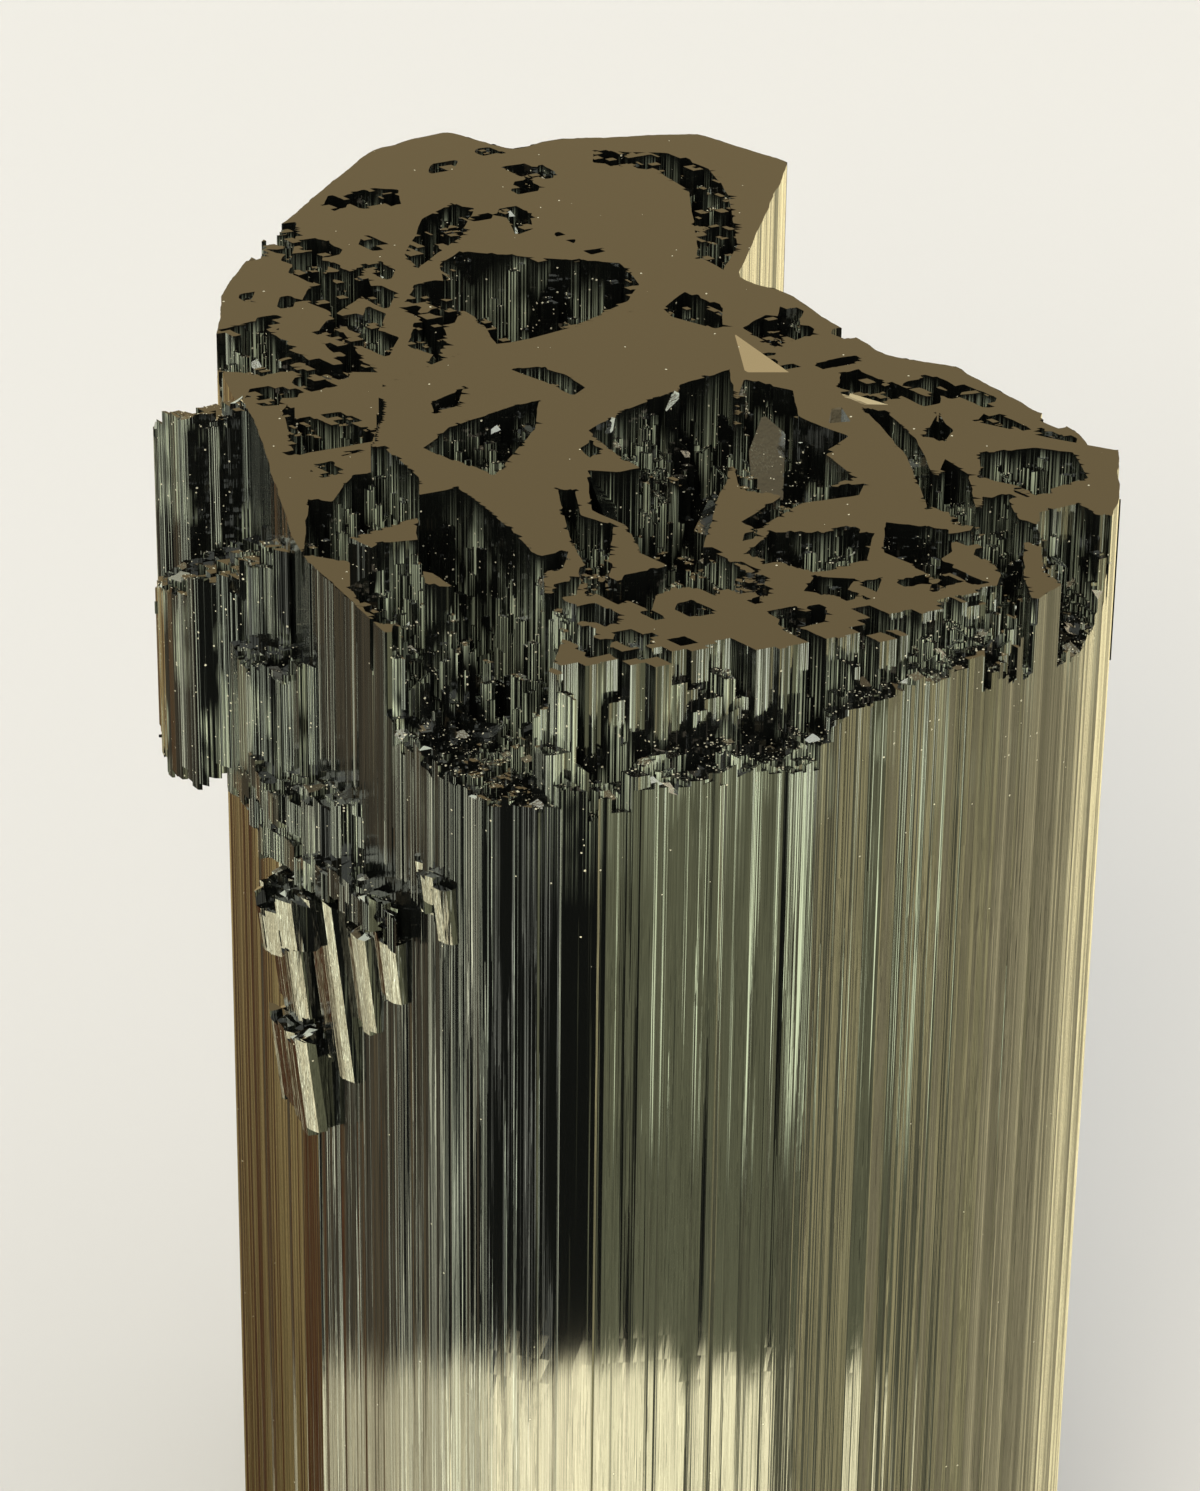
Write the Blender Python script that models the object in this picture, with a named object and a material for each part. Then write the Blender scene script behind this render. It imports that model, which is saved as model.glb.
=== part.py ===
"""Schorl, black tourmaline: one intergrown crystal, cut flat at the base and standing on that cut.

The crystal is a striated prism with a flat termination. The termination has a front platform, a lower
rear terrace and pits with upright walls. A thin side crystal, a flight of broken columns and a cluster
of blades grow from its left flank, and the front rim is chipped.

Plan places are in millimetres: x to the right and y to the back, measured from the middle of the front
rim. Levels are in millimetres below the termination. PLAN_CENTRE moves the plan onto the origin.
"""

import math
import random

import bmesh
import bpy
from mathutils import Matrix, Vector

MM = 0.001

HEIGHT = 42.0  # termination above the flat cut at the base
PLAN_CENTRE = (0.61, 14.24)  # middle of the crystal's bounding box in plan
FACE_TURN = 20.0  # degrees from +x to the nearest prism edge, seen from above
SECTOR = 60.0  # degrees between prism edges of one form
WALL_STEP = 0.42  # mean width of a ridge on the prism faces
PIT_STEP = 0.75  # mean width of a ridge on the pit walls
GROWTH_STEP = 0.45  # mean width of a ridge on the growths of the left flank
LEAST_RIDGE = 0.35  # narrowest ridge, as a share of the widest
SAME_PLACE = 0.02  # outline points nearer than this are one
CLEAR = 1.0  # how far a cutter starts above the termination

# Seeds of the uneven ridges and chips. The rows of a table take the numbers from their seed up.
PRISM_SEED = 5
RIM_SEED = 41
HOLLOW_SEED = 90
CUTTER_SEED = 100
GROWTH_SEED = 300

# Corners of the prism in plan, anticlockwise from the middle of the front rim. The run of points after
# (4.6, 20.3) is the re-entrant angle between the main column and the rear right block.
PRISM = (
    (1.0, 0.0), (5.0, 0.9), (9.3, 3.0), (11.2, 5.2), (12.2, 8.2), (12.4, 11.6), (11.6, 13.7),
    (9.7, 15.7), (8.7, 16.8), (7.0, 17.3), (6.3, 18.1), (4.6, 20.3), (3.4, 21.0), (4.8, 27.0),
    (2.4, 28.5), (-1.5, 28.1), (-2.4, 27.5), (-4.2, 28.5), (-6.1, 27.4), (-8.8, 22.6), (-9.65, 19.8),
    (-9.65, 16.8), (-8.5, 12.7), (-7.1, 6.6), (-5.2, 3.6), (-3.9, 1.8), (-2.6, 0.5), (-0.9, 0.0),
)

# Terraces: the termination steps down behind the platform's back edge and along the left rim.
TERRACES = {
    "rear_terrace": (1.4, (
        (12.2, 10.6), (10.7, 11.1), (8.5, 12.0), (7.2, 12.6), (5.7, 13.3), (3.2, 15.8), (0.9, 17.0),
        (-2.3, 15.2), (-3.2, 15.0), (-5.6, 13.0), (-7.6, 13.4), (-11.5, 12.8), (-11.5, 31.0),
        (14.5, 31.0), (14.5, 11.0),
    )),
    "left_terrace": (0.7, (
        (-5.6, 13.0), (-5.2, 12.4), (-5.4, 10.6), (-6.2, 8.4), (-6.0, 6.4), (-4.9, 5.4), (-4.6, 3.4),
        (-6.5, 1.5), (-11.0, 6.0), (-11.5, 13.0), (-8.0, 13.5),
    )),
}

# Pits in the termination: floor level and outline in plan. The big ones are several pits that overlap
# and have floors at different levels.
PITS = {
    "window_pit": (1.4, ((-4.3, 10.3), (-2.5, 9.1), (-1.6, 11.2), (-1.5, 12.6), (-2.2, 12.3),
                         (-3.7, 11.3))),
    "upper_slit": (0.6, ((-2.3, 14.0), (-1.3, 13.3), (-0.7, 12.8), (-0.4, 13.2), (-0.9, 13.8),
                         (-1.6, 14.2))),
    "lower_slit": (0.6, ((-4.2, 12.4), (-4.1, 11.9), (-3.5, 12.2), (-3.3, 13.2))),
    "left_rear_pit": (2.4, ((-7.4, 11.0), (-5.5, 11.7), (-5.3, 13.2), (-6.4, 14.3), (-7.5, 13.9),
                            (-7.8, 13.1))),
    "left_front_pit": (3.0, ((-7.0, 6.6), (-5.7, 6.3), (-4.3, 7.2), (-4.3, 9.0), (-5.2, 10.4),
                             (-6.0, 10.2), (-6.4, 9.0), (-7.0, 9.2))),
    "hollow_back": (4.2, ((-4.3, 5.2), (-3.0, 3.7), (-1.2, 3.7), (-1.4, 5.4), (-2.1, 6.8),
                          (-3.4, 8.6), (-4.4, 8.2))),
    "hollow_left": (2.1, ((-5.3, 3.8), (-4.0, 3.4), (-4.1, 6.3), (-5.2, 6.1), (-5.9, 5.3))),
    "hollow_front": (3.4, ((-4.8, 4.4), (-4.9, -1.0), (-1.6, -1.5), (-0.8, 2.2), (-1.1, 4.0))),
    "narrow_crack": (1.6, ((-1.1, 8.6), (-0.8, 6.4), (-0.4, 5.2), (0.2, 5.3), (0.3, 7.0),
                           (-0.5, 7.4), (-0.6, 8.5))),
    "central_wall_pit": (3.5, ((0.9, 9.4), (1.2, 7.3), (2.5, 7.3), (3.0, 9.1), (3.2, 12.4),
                               (3.1, 14.2), (1.8, 13.4), (1.5, 11.0))),
    "central_left_step": (1.7, ((-0.4, 11.2), (0.3, 10.1), (1.1, 9.3), (2.0, 11.0), (2.2, 13.5),
                                (0.6, 12.3))),
    "central_front_pit": (2.6, ((-0.4, 9.1), (-0.3, 7.6), (0.5, 7.0), (0.9, 5.8), (1.6, 5.2),
                                (2.4, 6.0), (2.7, 7.9), (1.0, 9.6))),
    "central_right_pit": (2.3, ((3.0, 10.2), (3.2, 8.6), (4.6, 8.3), (6.0, 9.2), (5.3, 10.3),
                                (5.9, 11.1), (4.7, 12.0), (4.6, 13.2), (3.4, 13.7))),
    "right_nook": (1.7, ((6.2, 12.4), (7.2, 10.2), (7.6, 7.8), (8.1, 8.3), (7.5, 11.0), (6.8, 12.3))),
    "groove": (0.8, ((3.2, 7.2), (3.6, 6.8), (4.7, 8.0), (6.1, 8.4), (6.2, 9.0), (4.4, 8.6))),
    "islet_pit": (0.9, ((7.6, 11.1), (8.2, 10.9), (8.4, 11.4), (8.0, 12.3))),
    "right_corner_pit": (1.8, ((8.9, 9.3), (10.3, 8.6), (11.5, 9.3), (11.2, 10.5), (10.3, 10.7),
                               (8.9, 10.4))),
    "right_crack": (1.9, ((8.7, 6.4), (9.2, 5.0), (8.8, 3.6), (8.7, 0.6), (10.4, 1.6), (9.8, 4.8),
                          (9.9, 6.9), (9.6, 8.3), (8.9, 8.5))),
    "front_dark_pit": (1.3, ((3.3, 5.8), (5.0, 5.0), (6.2, 5.6), (6.4, 6.8), (5.1, 6.8), (3.9, 6.8))),
    "front_right_pit": (1.5, ((6.5, 5.9), (7.5, 5.2), (8.2, 6.0), (8.1, 7.0), (6.6, 7.3))),
    "front_middle_pit": (1.0, ((1.2, 5.1), (1.9, 4.3), (2.9, 4.3), (3.3, 5.2), (2.5, 5.9))),
    "trench": (4.0, ((-4.0, 19.9), (-3.0, 18.4), (-2.7, 17.5), (-1.2, 18.0), (0.6, 19.7), (0.9, 20.6),
                     (0.4, 21.7), (-1.7, 21.9), (-3.7, 22.2), (-4.2, 21.5))),
    "rear_wall_pit": (3.0, ((1.4, 19.4), (2.2, 18.2), (3.0, 18.5), (3.0, 19.5), (2.0, 20.3))),
    "rear_dark_pit": (2.8, ((3.4, 18.5), (4.2, 17.5), (5.0, 18.1), (4.9, 19.0), (4.0, 19.2))),
    "rear_slot": (3.0, ((-5.1, 21.9), (-4.7, 21.2), (-3.7, 22.8), (-3.3, 24.4), (-4.0, 24.6),
                        (-4.7, 23.8))),
    "rear_left_pit": (2.9, ((-7.6, 19.6), (-6.7, 18.9), (-5.8, 20.1), (-6.0, 21.3), (-7.3, 20.8))),
    "rear_left_groove": (2.5, ((-7.2, 18.0), (-6.3, 16.1), (-5.5, 16.1), (-6.0, 17.0), (-6.8, 18.9))),
    "rear_wedge": (2.7, ((-4.9, 17.4), (-4.1, 16.9), (-3.8, 17.8), (-4.3, 19.3), (-4.8, 18.5))),
    "left_notch": (2.6, ((-10.2, 16.2), (-8.2, 15.9), (-7.1, 16.5), (-7.8, 17.5), (-8.7, 18.6),
                         (-10.2, 17.8))),
    "rear_edge_notch": (2.4, ((-10.0, 22.4), (-7.9, 21.8), (-7.8, 22.9), (-9.2, 23.9))),
    "rear_small_pit": (2.2, ((-2.6, 24.1), (-2.3, 22.9), (-1.8, 23.3), (-2.0, 24.4))),
    "rear_faint_pit": (2.0, ((-6.9, 24.8), (-6.2, 24.2), (-5.2, 24.5), (-5.3, 25.3), (-6.2, 25.4))),
    "rear_left_nick": (2.3, ((-5.2, 19.2), (-4.7, 18.9), (-4.3, 19.9), (-4.8, 20.3))),
    "rear_right_nick": (2.4, ((7.0, 15.9), (8.0, 15.2), (8.9, 15.6), (8.2, 16.3))),
    "rear_right_slot": (2.5, ((8.9, 13.9), (10.2, 12.9), (10.9, 13.2), (10.0, 14.4), (9.3, 14.7))),
    "bevel_nick": (2.2, ((5.6, 15.6), (6.6, 14.8), (7.4, 15.3), (6.3, 16.4))),
    "platform_hole": (0.7, ((-0.6, 10.4), (-0.3, 9.9), (0.0, 10.3), (-0.3, 10.8))),
    "front_left_hole": (0.9, ((-0.4, 4.2), (0.4, 3.5), (0.9, 4.0), (0.2, 4.7))),
    "front_strip_hole": (1.1, ((4.6, 4.2), (5.6, 4.0), (5.9, 4.8), (4.9, 4.9))),
    "island_gap": (1.5, ((7.8, 9.0), (8.2, 7.2), (8.9, 7.0), (8.7, 9.4), (8.1, 10.2))),
    "back_trench": (3.1, ((2.3, 22.0), (3.0, 21.3), (3.4, 22.6), (3.2, 25.2), (2.7, 26.6),
                          (1.6, 27.4), (-0.4, 27.5), (-0.4, 26.8), (1.3, 26.4), (2.1, 25.4))),
}

# Chips out of the right corner, whose outline runs out past the prism face.
CORNER_CHIPS = {
    "corner_chip": (2.3, ((10.2, 5.2), (11.0, 4.0), (13.6, 4.4), (13.6, 7.6), (11.6, 7.7),
                          (11.2, 8.2), (10.2, 7.8))),
}

# The chipped band along the front rim: its run in plan, how deep it is at places along x, and its two
# tiers, each with how far it is set back and its share of that depth. Then the chips' mean width, how
# far they reach out past the rim, their overlap, and how set-back and depth vary from chip to chip.
RIM_RUN = ((-4.7, 2.9), (-3.9, 1.8), (-2.6, 0.5), (-0.9, 0.0), (1.0, 0.0), (5.0, 0.9), (9.3, 3.0))
RIM_DEPTHS = ((-4.7, 3.9), (0.5, 3.6), (0.9, 2.9), (5.1, 2.8), (5.6, 1.5), (9.3, 0.9))
RIM_TIERS = ((1.3, 1.0), (2.5, 0.42))
CHIP_WIDTH = 0.85
CHIP_REACH = 2.0
CHIP_OVERLAP = 0.2
SET_BACK_RANGE = (0.55, 1.3)
DEPTH_RANGE = (0.8, 1.12)

# Solid growths on the left flank: level of the top at its front right, its fall per millimetre to the
# left and to the back, level of the foot, its rise per millimetre to the left, and outline in plan.
GROWTHS = {
    "side_crystal": (0.0, (0.3, 0.7), 8.4, 0.5, (
        (-7.8, 12.9), (-7.8, 16.4), (-9.9, 16.6), (-11.15, 15.0), (-11.15, 14.2), (-10.3, 13.4),
    )),
    "side_crystal_step": (0.5, (0.5, 0.5), 6.9, -0.7, (
        (-6.9, 9.4), (-7.8, 14.0), (-10.6, 14.3), (-11.05, 12.2), (-10.6, 9.6), (-9.9, 8.4), (-8.6, 7.8),
        (-7.2, 7.2),
    )),
    "broken_column_high": (3.2, (0.15, 0.2), 9.6, 0.3, (
        (-6.2, 7.2), (-8.4, 9.5), (-9.2, 8.3), (-8.3, 6.8), (-7.0, 6.0), (-6.0, 5.9),
    )),
    "broken_column_middle": (6.0, (0.3, 0.0), 9.6, 0.4, (
        (-5.4, 5.4), (-7.9, 9.2), (-8.8, 7.6), (-7.9, 5.9), (-6.5, 4.6), (-5.2, 3.9),
    )),
    "broken_column_low": (7.9, (0.2, 0.0), 9.4, 0.0, (
        (-4.6, 3.7), (-7.2, 7.6), (-8.3, 6.8), (-7.1, 4.9), (-5.6, 3.0), (-4.6, 2.2),
    )),
}

# Blades of the lower cluster: middle in plan, level of the top, length, width along the flank,
# thickness away from it, and degrees from +x that the blade is turned.
BLADES = {
    "blade_crescent": ((-7.05, 5.97), 9.2, 1.9, 1.7, 2.4, -32.0),
    "blade_outer": ((-6.98, 7.08), 11.3, 2.8, 1.7, 1.8, -56.0),
    "blade_foot": ((-7.0, 6.75), 14.0, 3.1, 2.3, 1.6, -56.0),
    "blade_long": ((-6.1, 5.45), 9.1, 5.8, 1.7, 1.7, -56.0),
    "blade_ribbed": ((-5.32, 4.3), 9.2, 3.6, 1.15, 1.4, -56.0),
    "blade_bright": ((-4.64, 3.38), 8.7, 2.6, 1.15, 1.4, -56.0),
    "blade_short": ((-3.64, 2.11), 6.1, 1.6, 1.1, 1.3, -56.0),
    "blade_right": ((-3.37, 1.68), 6.3, 1.7, 0.85, 1.2, -54.0),
}
BLADE_BEVEL = 0.28  # bevel of a blade's long edges, as a share of its width
BLADE_LEAN = 5.0  # degrees that the blades lean out of the upright, feet to the right
CLUSTER_TOP = 7.9  # where the cutter of the cluster's hollow starts
CLUSTER_HOLLOW = (8.8, ((-6.7, 4.9), (-6.5, 3.8), (-5.2, 2.3), (-4.2, 1.7), (-4.3, 2.6), (-5.6, 4.3)))


def clear_scene():
    for obj in list(bpy.data.objects):
        bpy.data.objects.remove(obj, do_unlink=True)


def prism_edge(index):
    """Unit vector along one of the prism's edge directions in plan."""
    angle = math.radians(FACE_TURN + SECTOR * index)
    return Vector((math.cos(angle), math.sin(angle)))


def shares(total, count, rng):
    """The total split into uneven parts."""
    weights = [rng.uniform(LEAST_RIDGE, 1.0) for _ in range(count)]
    return [total * weight / sum(weights) for weight in weights]


def stepped(start, end, step, rng):
    """Points from start up to end along the two prism directions either side of the line.

    The alternation of the two directions is what ribs a tourmaline face along its length.
    """
    start, end = Vector(start), Vector(end)
    line = end - start
    turn = math.degrees(math.atan2(line.y, line.x)) - FACE_TURN
    first = math.floor(turn / SECTOR)
    one, two = prism_edge(first), prism_edge(first + 1)
    cross = one.cross(two)
    along_one, along_two = line.cross(two) / cross, one.cross(line) / cross
    count = max(1, round(line.length / step))
    points, here = [], start.copy()
    for part_one, part_two in zip(shares(along_one, count, rng), shares(along_two, count, rng)):
        points.append(here.copy())
        here = here + one * part_one
        points.append(here.copy())
        here = here + two * part_two
    return points


def ribbed_outline(corners, step, seed):
    """A closed outline whose sides are stepped, with doubled points left out."""
    rng = random.Random(seed)
    points = []
    for start, end in zip(corners, corners[1:] + corners[:1]):
        points += stepped(start, end, step, rng)
    return [p for p, q in zip(points, points[1:] + points[:1]) if (p - q).length > SAME_PLACE]


def to_world(point, level):
    """A plan point in millimetres at a level below the termination, in metres about the origin."""
    x, y = point
    return Vector((x - PLAN_CENTRE[0], y - PLAN_CENTRE[1], HEIGHT - level)) * MM


def plan_x(vert):
    return vert.co.x / MM + PLAN_CENTRE[0]


def plan_y(vert):
    return vert.co.y / MM + PLAN_CENTRE[1]


def upright(name, outline, top, foot, top_fall=(0.0, 0.0), foot_rise=0.0):
    """A closed column with this outline, from one level down to another.

    The top may slope, lower by top_fall for each millimetre to the left and to the back. The foot may be
    broken on a slant, higher by foot_rise for each millimetre to the left.
    """
    mesh = bpy.data.meshes.new(name)
    shape = bmesh.new()
    right = max(point[0] for point in outline)
    front = min(point[1] for point in outline)
    ring = [shape.verts.new(to_world(point, foot - foot_rise * (right - point[0]))) for point in outline]
    face = shape.faces.new(ring)
    risen = bmesh.ops.extrude_face_region(shape, geom=[face])
    for vert in (part for part in risen["geom"] if isinstance(part, bmesh.types.BMVert)):
        left_of, behind = right - plan_x(vert), plan_y(vert) - front
        vert.co.z = (HEIGHT - top - top_fall[0] * left_of - top_fall[1] * behind) * MM
    bmesh.ops.recalc_face_normals(shape, faces=shape.faces)
    shape.to_mesh(mesh)
    shape.free()
    return bpy.data.objects.new(name, mesh)


def as_helper(obj, collection):
    """A shape that is only joined to the crystal or cut from it."""
    obj.hide_render = True
    obj.display_type = "WIRE"
    collection.objects.link(obj)


def helpers(name):
    collection = bpy.data.collections.new(name)
    bpy.context.scene.collection.children.link(collection)
    return collection


def blade(name, middle, top, length, width, thickness, turned):
    """A six-sided blade with bevelled long edges, leaning a little."""
    half, deep, corner = width / 2, thickness / 2, width * BLADE_BEVEL
    section = (
        (half, 0), (half - corner, deep), (corner - half, deep), (-half, 0), (corner - half, -deep),
        (half - corner, -deep),
    )
    turn = Matrix.Rotation(math.radians(turned), 2)
    obj = upright(name, [Vector(middle) + turn @ Vector(point) for point in section], top, top + length)
    pivot = Matrix.Translation(to_world(middle, top))
    lean = Matrix.Rotation(math.radians(-BLADE_LEAN), 4, "Y")
    obj.data.transform(pivot @ lean @ pivot.inverted())
    return obj


def area(corners):
    """Twice the area, positive where the corners run anticlockwise."""
    return sum(a[0] * b[1] - b[0] * a[1] for a, b in zip(corners, corners[1:] + corners[:1]))


def anticlockwise(corners):
    return corners if area(corners) > 0 else corners[::-1]


def make_growths():
    """The side crystal, the broken columns below it and the cluster of blades."""
    growths = helpers("growths")
    for row, (name, (top, fall, foot, rise, corners)) in enumerate(GROWTHS.items()):
        outline = ribbed_outline(anticlockwise(corners), GROWTH_STEP, GROWTH_SEED + row)
        as_helper(upright(name, outline, top, foot, fall, rise), growths)
    for name, sizes in BLADES.items():
        as_helper(blade(name, *sizes), growths)
    return growths


def between(places, x):
    """The value at x on the broken line through these (x, value) places."""
    for (left, low), (right, high) in zip(places, places[1:]):
        if x <= right:
            return low + (high - low) * (x - left) / (right - left)
    return places[-1][1]


def rim_chips():
    """Names, floors and outlines of the chips along the front rim, from left to right in each tier."""
    rng = random.Random(RIM_SEED)
    found = {}
    for tier, (set_back, share) in enumerate(RIM_TIERS):
        for start, end in zip(RIM_RUN, RIM_RUN[1:]):
            start, end = Vector(start), Vector(end)
            along = (end - start).normalized()
            inward = Vector((-along.y, along.x))
            count = max(1, round((end - start).length / CHIP_WIDTH))
            for index in range(count):
                middle = start.lerp(end, (index + 0.5) / count)
                half = along * ((end - start).length / count * (1 + CHIP_OVERLAP) / 2)
                deep = [inward * (set_back * rng.uniform(*SET_BACK_RANGE)) for _ in range(2)]
                floor = between(RIM_DEPTHS, middle.x) * share * rng.uniform(*DEPTH_RANGE)
                outside = middle - inward * CHIP_REACH
                outline = (outside - half, outside + half, middle + half + deep[0], middle - half + deep[1])
                found[f"rim_chip_{tier}_{len(found)}"] = (floor, tuple(tuple(p) for p in outline))
    return found


def make_cutters():
    """Terraces, pits and chips, each an upright cutter that starts above the termination."""
    cutters = helpers("cutters")
    levels = {**TERRACES, **PITS, **CORNER_CHIPS, **rim_chips()}
    for row, (name, (floor, corners)) in enumerate(levels.items()):
        outline = ribbed_outline(anticlockwise(corners), PIT_STEP, CUTTER_SEED + row)
        as_helper(upright(name, outline, -CLEAR, floor), cutters)
    floor, corners = CLUSTER_HOLLOW
    outline = ribbed_outline(anticlockwise(corners), GROWTH_STEP, HOLLOW_SEED)
    as_helper(upright("cluster_hollow", outline, CLUSTER_TOP, floor), cutters)
    return cutters


def boolean(obj, name, operation, collection):
    change = obj.modifiers.new(name, "BOOLEAN")
    change.operation = operation
    change.solver = "EXACT"
    change.operand_type = "COLLECTION"
    change.collection = collection


def schorl_material():
    """Black tourmaline: near-black, glassy."""
    material = bpy.data.materials.new("black_tourmaline")
    material.use_nodes = True
    shader = material.node_tree.nodes["Principled BSDF"]
    shader.inputs["Base Color"].default_value = (0.012, 0.012, 0.011, 1)
    shader.inputs["Roughness"].default_value = 0.18
    shader.inputs["Metallic"].default_value = 0.0
    shader.inputs["IOR"].default_value = 1.65
    return material


def make_crystal():
    """The whole crystal as one solid."""
    crystal = upright("schorl_crystal", ribbed_outline(PRISM, WALL_STEP, PRISM_SEED), 0.0, HEIGHT)
    bpy.context.scene.collection.objects.link(crystal)
    boolean(crystal, "grow", "UNION", make_growths())
    boolean(crystal, "cut", "DIFFERENCE", make_cutters())
    crystal.data.materials.append(schorl_material())


clear_scene()
make_crystal()
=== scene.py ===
"""Schorl, black tourmaline: the fine surface of one intergrown crystal, its finish and the studio around it.

The termination is made of two sheets of narrow upright columns on lattices that follow the prism's own
edge directions, the prism is a striated wall below them, and the growths on the left flank are column
groups of their own. Plan places are in millimetres: x to the right and y to the back, from the middle of
the front rim. Levels are in millimetres below the termination.
"""

import math

import bmesh
import bpy
import numpy as np
from mathutils import Matrix, Vector

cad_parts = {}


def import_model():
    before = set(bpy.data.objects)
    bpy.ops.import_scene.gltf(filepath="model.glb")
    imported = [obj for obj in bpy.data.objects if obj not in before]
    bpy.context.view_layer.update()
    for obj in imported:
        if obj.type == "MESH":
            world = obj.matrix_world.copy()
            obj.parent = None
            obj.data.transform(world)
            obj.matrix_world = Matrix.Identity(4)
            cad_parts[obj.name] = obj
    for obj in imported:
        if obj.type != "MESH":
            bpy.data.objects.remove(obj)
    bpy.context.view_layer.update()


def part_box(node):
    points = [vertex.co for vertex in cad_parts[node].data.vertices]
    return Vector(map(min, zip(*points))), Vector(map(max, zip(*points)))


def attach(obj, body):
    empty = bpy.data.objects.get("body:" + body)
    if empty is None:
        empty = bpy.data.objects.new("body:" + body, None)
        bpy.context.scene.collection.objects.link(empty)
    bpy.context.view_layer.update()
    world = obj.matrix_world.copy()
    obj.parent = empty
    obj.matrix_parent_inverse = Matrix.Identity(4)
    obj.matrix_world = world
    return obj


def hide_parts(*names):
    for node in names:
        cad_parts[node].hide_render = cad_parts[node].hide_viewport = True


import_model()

bl_info = {
    "name": "Schorl Crystal",
    "version": (1, 0, 0),
    "blender": (4, 5, 0),
    "location": "View3D > Sidebar > Schorl",
    "description": "Builds a striated black tourmaline crystal with a pitted termination and its studio",
    "category": "Add Mesh",
}

MM = 0.001
NODE = "schorl_crystal"
BODY = "root"
PLAN_CENTRE = (0.61, 14.24)  # middle of the crystal's bounding box in plan
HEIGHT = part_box(NODE)[1].z / MM  # termination above the base

FACE_TURN = 20.0  # degrees from +x to the nearest prism edge, seen from above
LATTICE_ANGLE = 120.0  # degrees between the two edge directions of a lattice
# Least and most, as shares of the mean: spacing of ribs and of lattice lines, and length of blocks.
RIB_SPREAD, LINE_SPREAD, BLOCK_SPREAD = (0.35, 1.65), (0.45, 1.55), (0.6, 1.5)
OUTSIDE = -1e6  # height of the air beside a column, below every real height
SEED, FRONT_SEED, REAR_SEED, DRIFT_SEED, GRAIN_SEED = 20, 21, 22, 25, 70
# Each of these has its own number added.
FIRST_GROWTH_SEED, FIRST_BLADE_SEED, FIRST_PIT_SEED, FIRST_FACET_SEED = 30, 50, 1000, 2000

# Corners of the prism in plan, anticlockwise from the middle of the front rim.
PRISM = (
    (1.0, 0.02), (4.22, 0.66), (5.12, 0.97), (7.9, 2.25), (9.3, 3.08), (11.2, 5.2), (12.2, 8.2),
    (12.4, 11.6), (11.6, 13.7), (9.7, 15.7), (8.7, 16.8), (7.0, 17.3), (6.3, 18.1), (4.6, 20.3),
    (3.4, 21.0), (4.8, 27.0), (2.4, 28.5), (-1.5, 28.1), (-2.4, 27.5), (-4.2, 28.5), (-6.1, 27.4),
    (-8.8, 22.6), (-9.65, 19.8), (-9.65, 16.8), (-8.5, 12.7), (-7.35, 7.6), (-6.75, 6.05), (-5.2, 3.6),
    (-3.9, 1.8), (-2.6, 0.5), (-0.9, 0.03), (0.05, -0.04),
)
CORNER_SETBACK = 0.25  # of the prism's rounded corners along its sides
FINE_RIB, STRIA = 0.27, 0.11  # mean widths of the second and third layer of ribs
FINE_RIB_SHARE, CALM_SHARE = 0.4, 0.08  # depth of the second layer and of calm ribs, as shares of the first
# Flat strips of the prism with hardly any ribs, each from one place in plan to another.
CALM_STRIPS = (
    ((-0.85, 0.02), (0.05, -0.04)), ((4.27, 0.677), (5.07, 0.953)), ((-7.3, 7.5), (-6.8, 6.2)),
)

# The line behind the platform where the termination steps down to the rear terrace, from right to left.
PLATFORM_BACK = (
    (14.5, 11.0), (12.2, 10.6), (10.7, 11.1), (8.5, 12.0), (7.2, 12.6), (5.7, 13.3), (3.2, 15.8),
    (0.9, 17.0), (-2.3, 15.2), (-3.2, 15.0), (-5.6, 13.0), (-7.6, 13.4), (-11.5, 12.8),
)
BEHIND = ((-11.5, 31.0), (14.5, 31.0))  # corners that close that line round the rear terrace
REAR_LEVEL, LEFT_LEVEL = 1.4, 0.7
LEFT_TERRACE = (
    (-5.6, 13.0), (-5.2, 12.4), (-5.4, 10.6), (-6.2, 8.4), (-6.0, 6.4), (-4.9, 5.4), (-4.6, 3.4),
    (-6.5, 1.5), (-11.0, 6.0), (-11.5, 13.0), (-8.0, 13.5),
)
# The areas in plan that the two sheets of columns cover, and where in plan their feet close.
FRONT_SHEET = ((-10.0, -0.5), (13.0, -0.5), (13.0, 17.3), (-10.0, 17.3))
REAR_SHEET = ((-11.0, 10.0), (13.0, 10.0), (13.0, 29.0), (-11.0, 29.0))
FRONT_FOOT, REAR_FOOT = (1.0, 7.0), (-1.0, 19.0)
SKIRT = 6.0  # level where the termination's columns end and the striated prism wall begins

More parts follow.
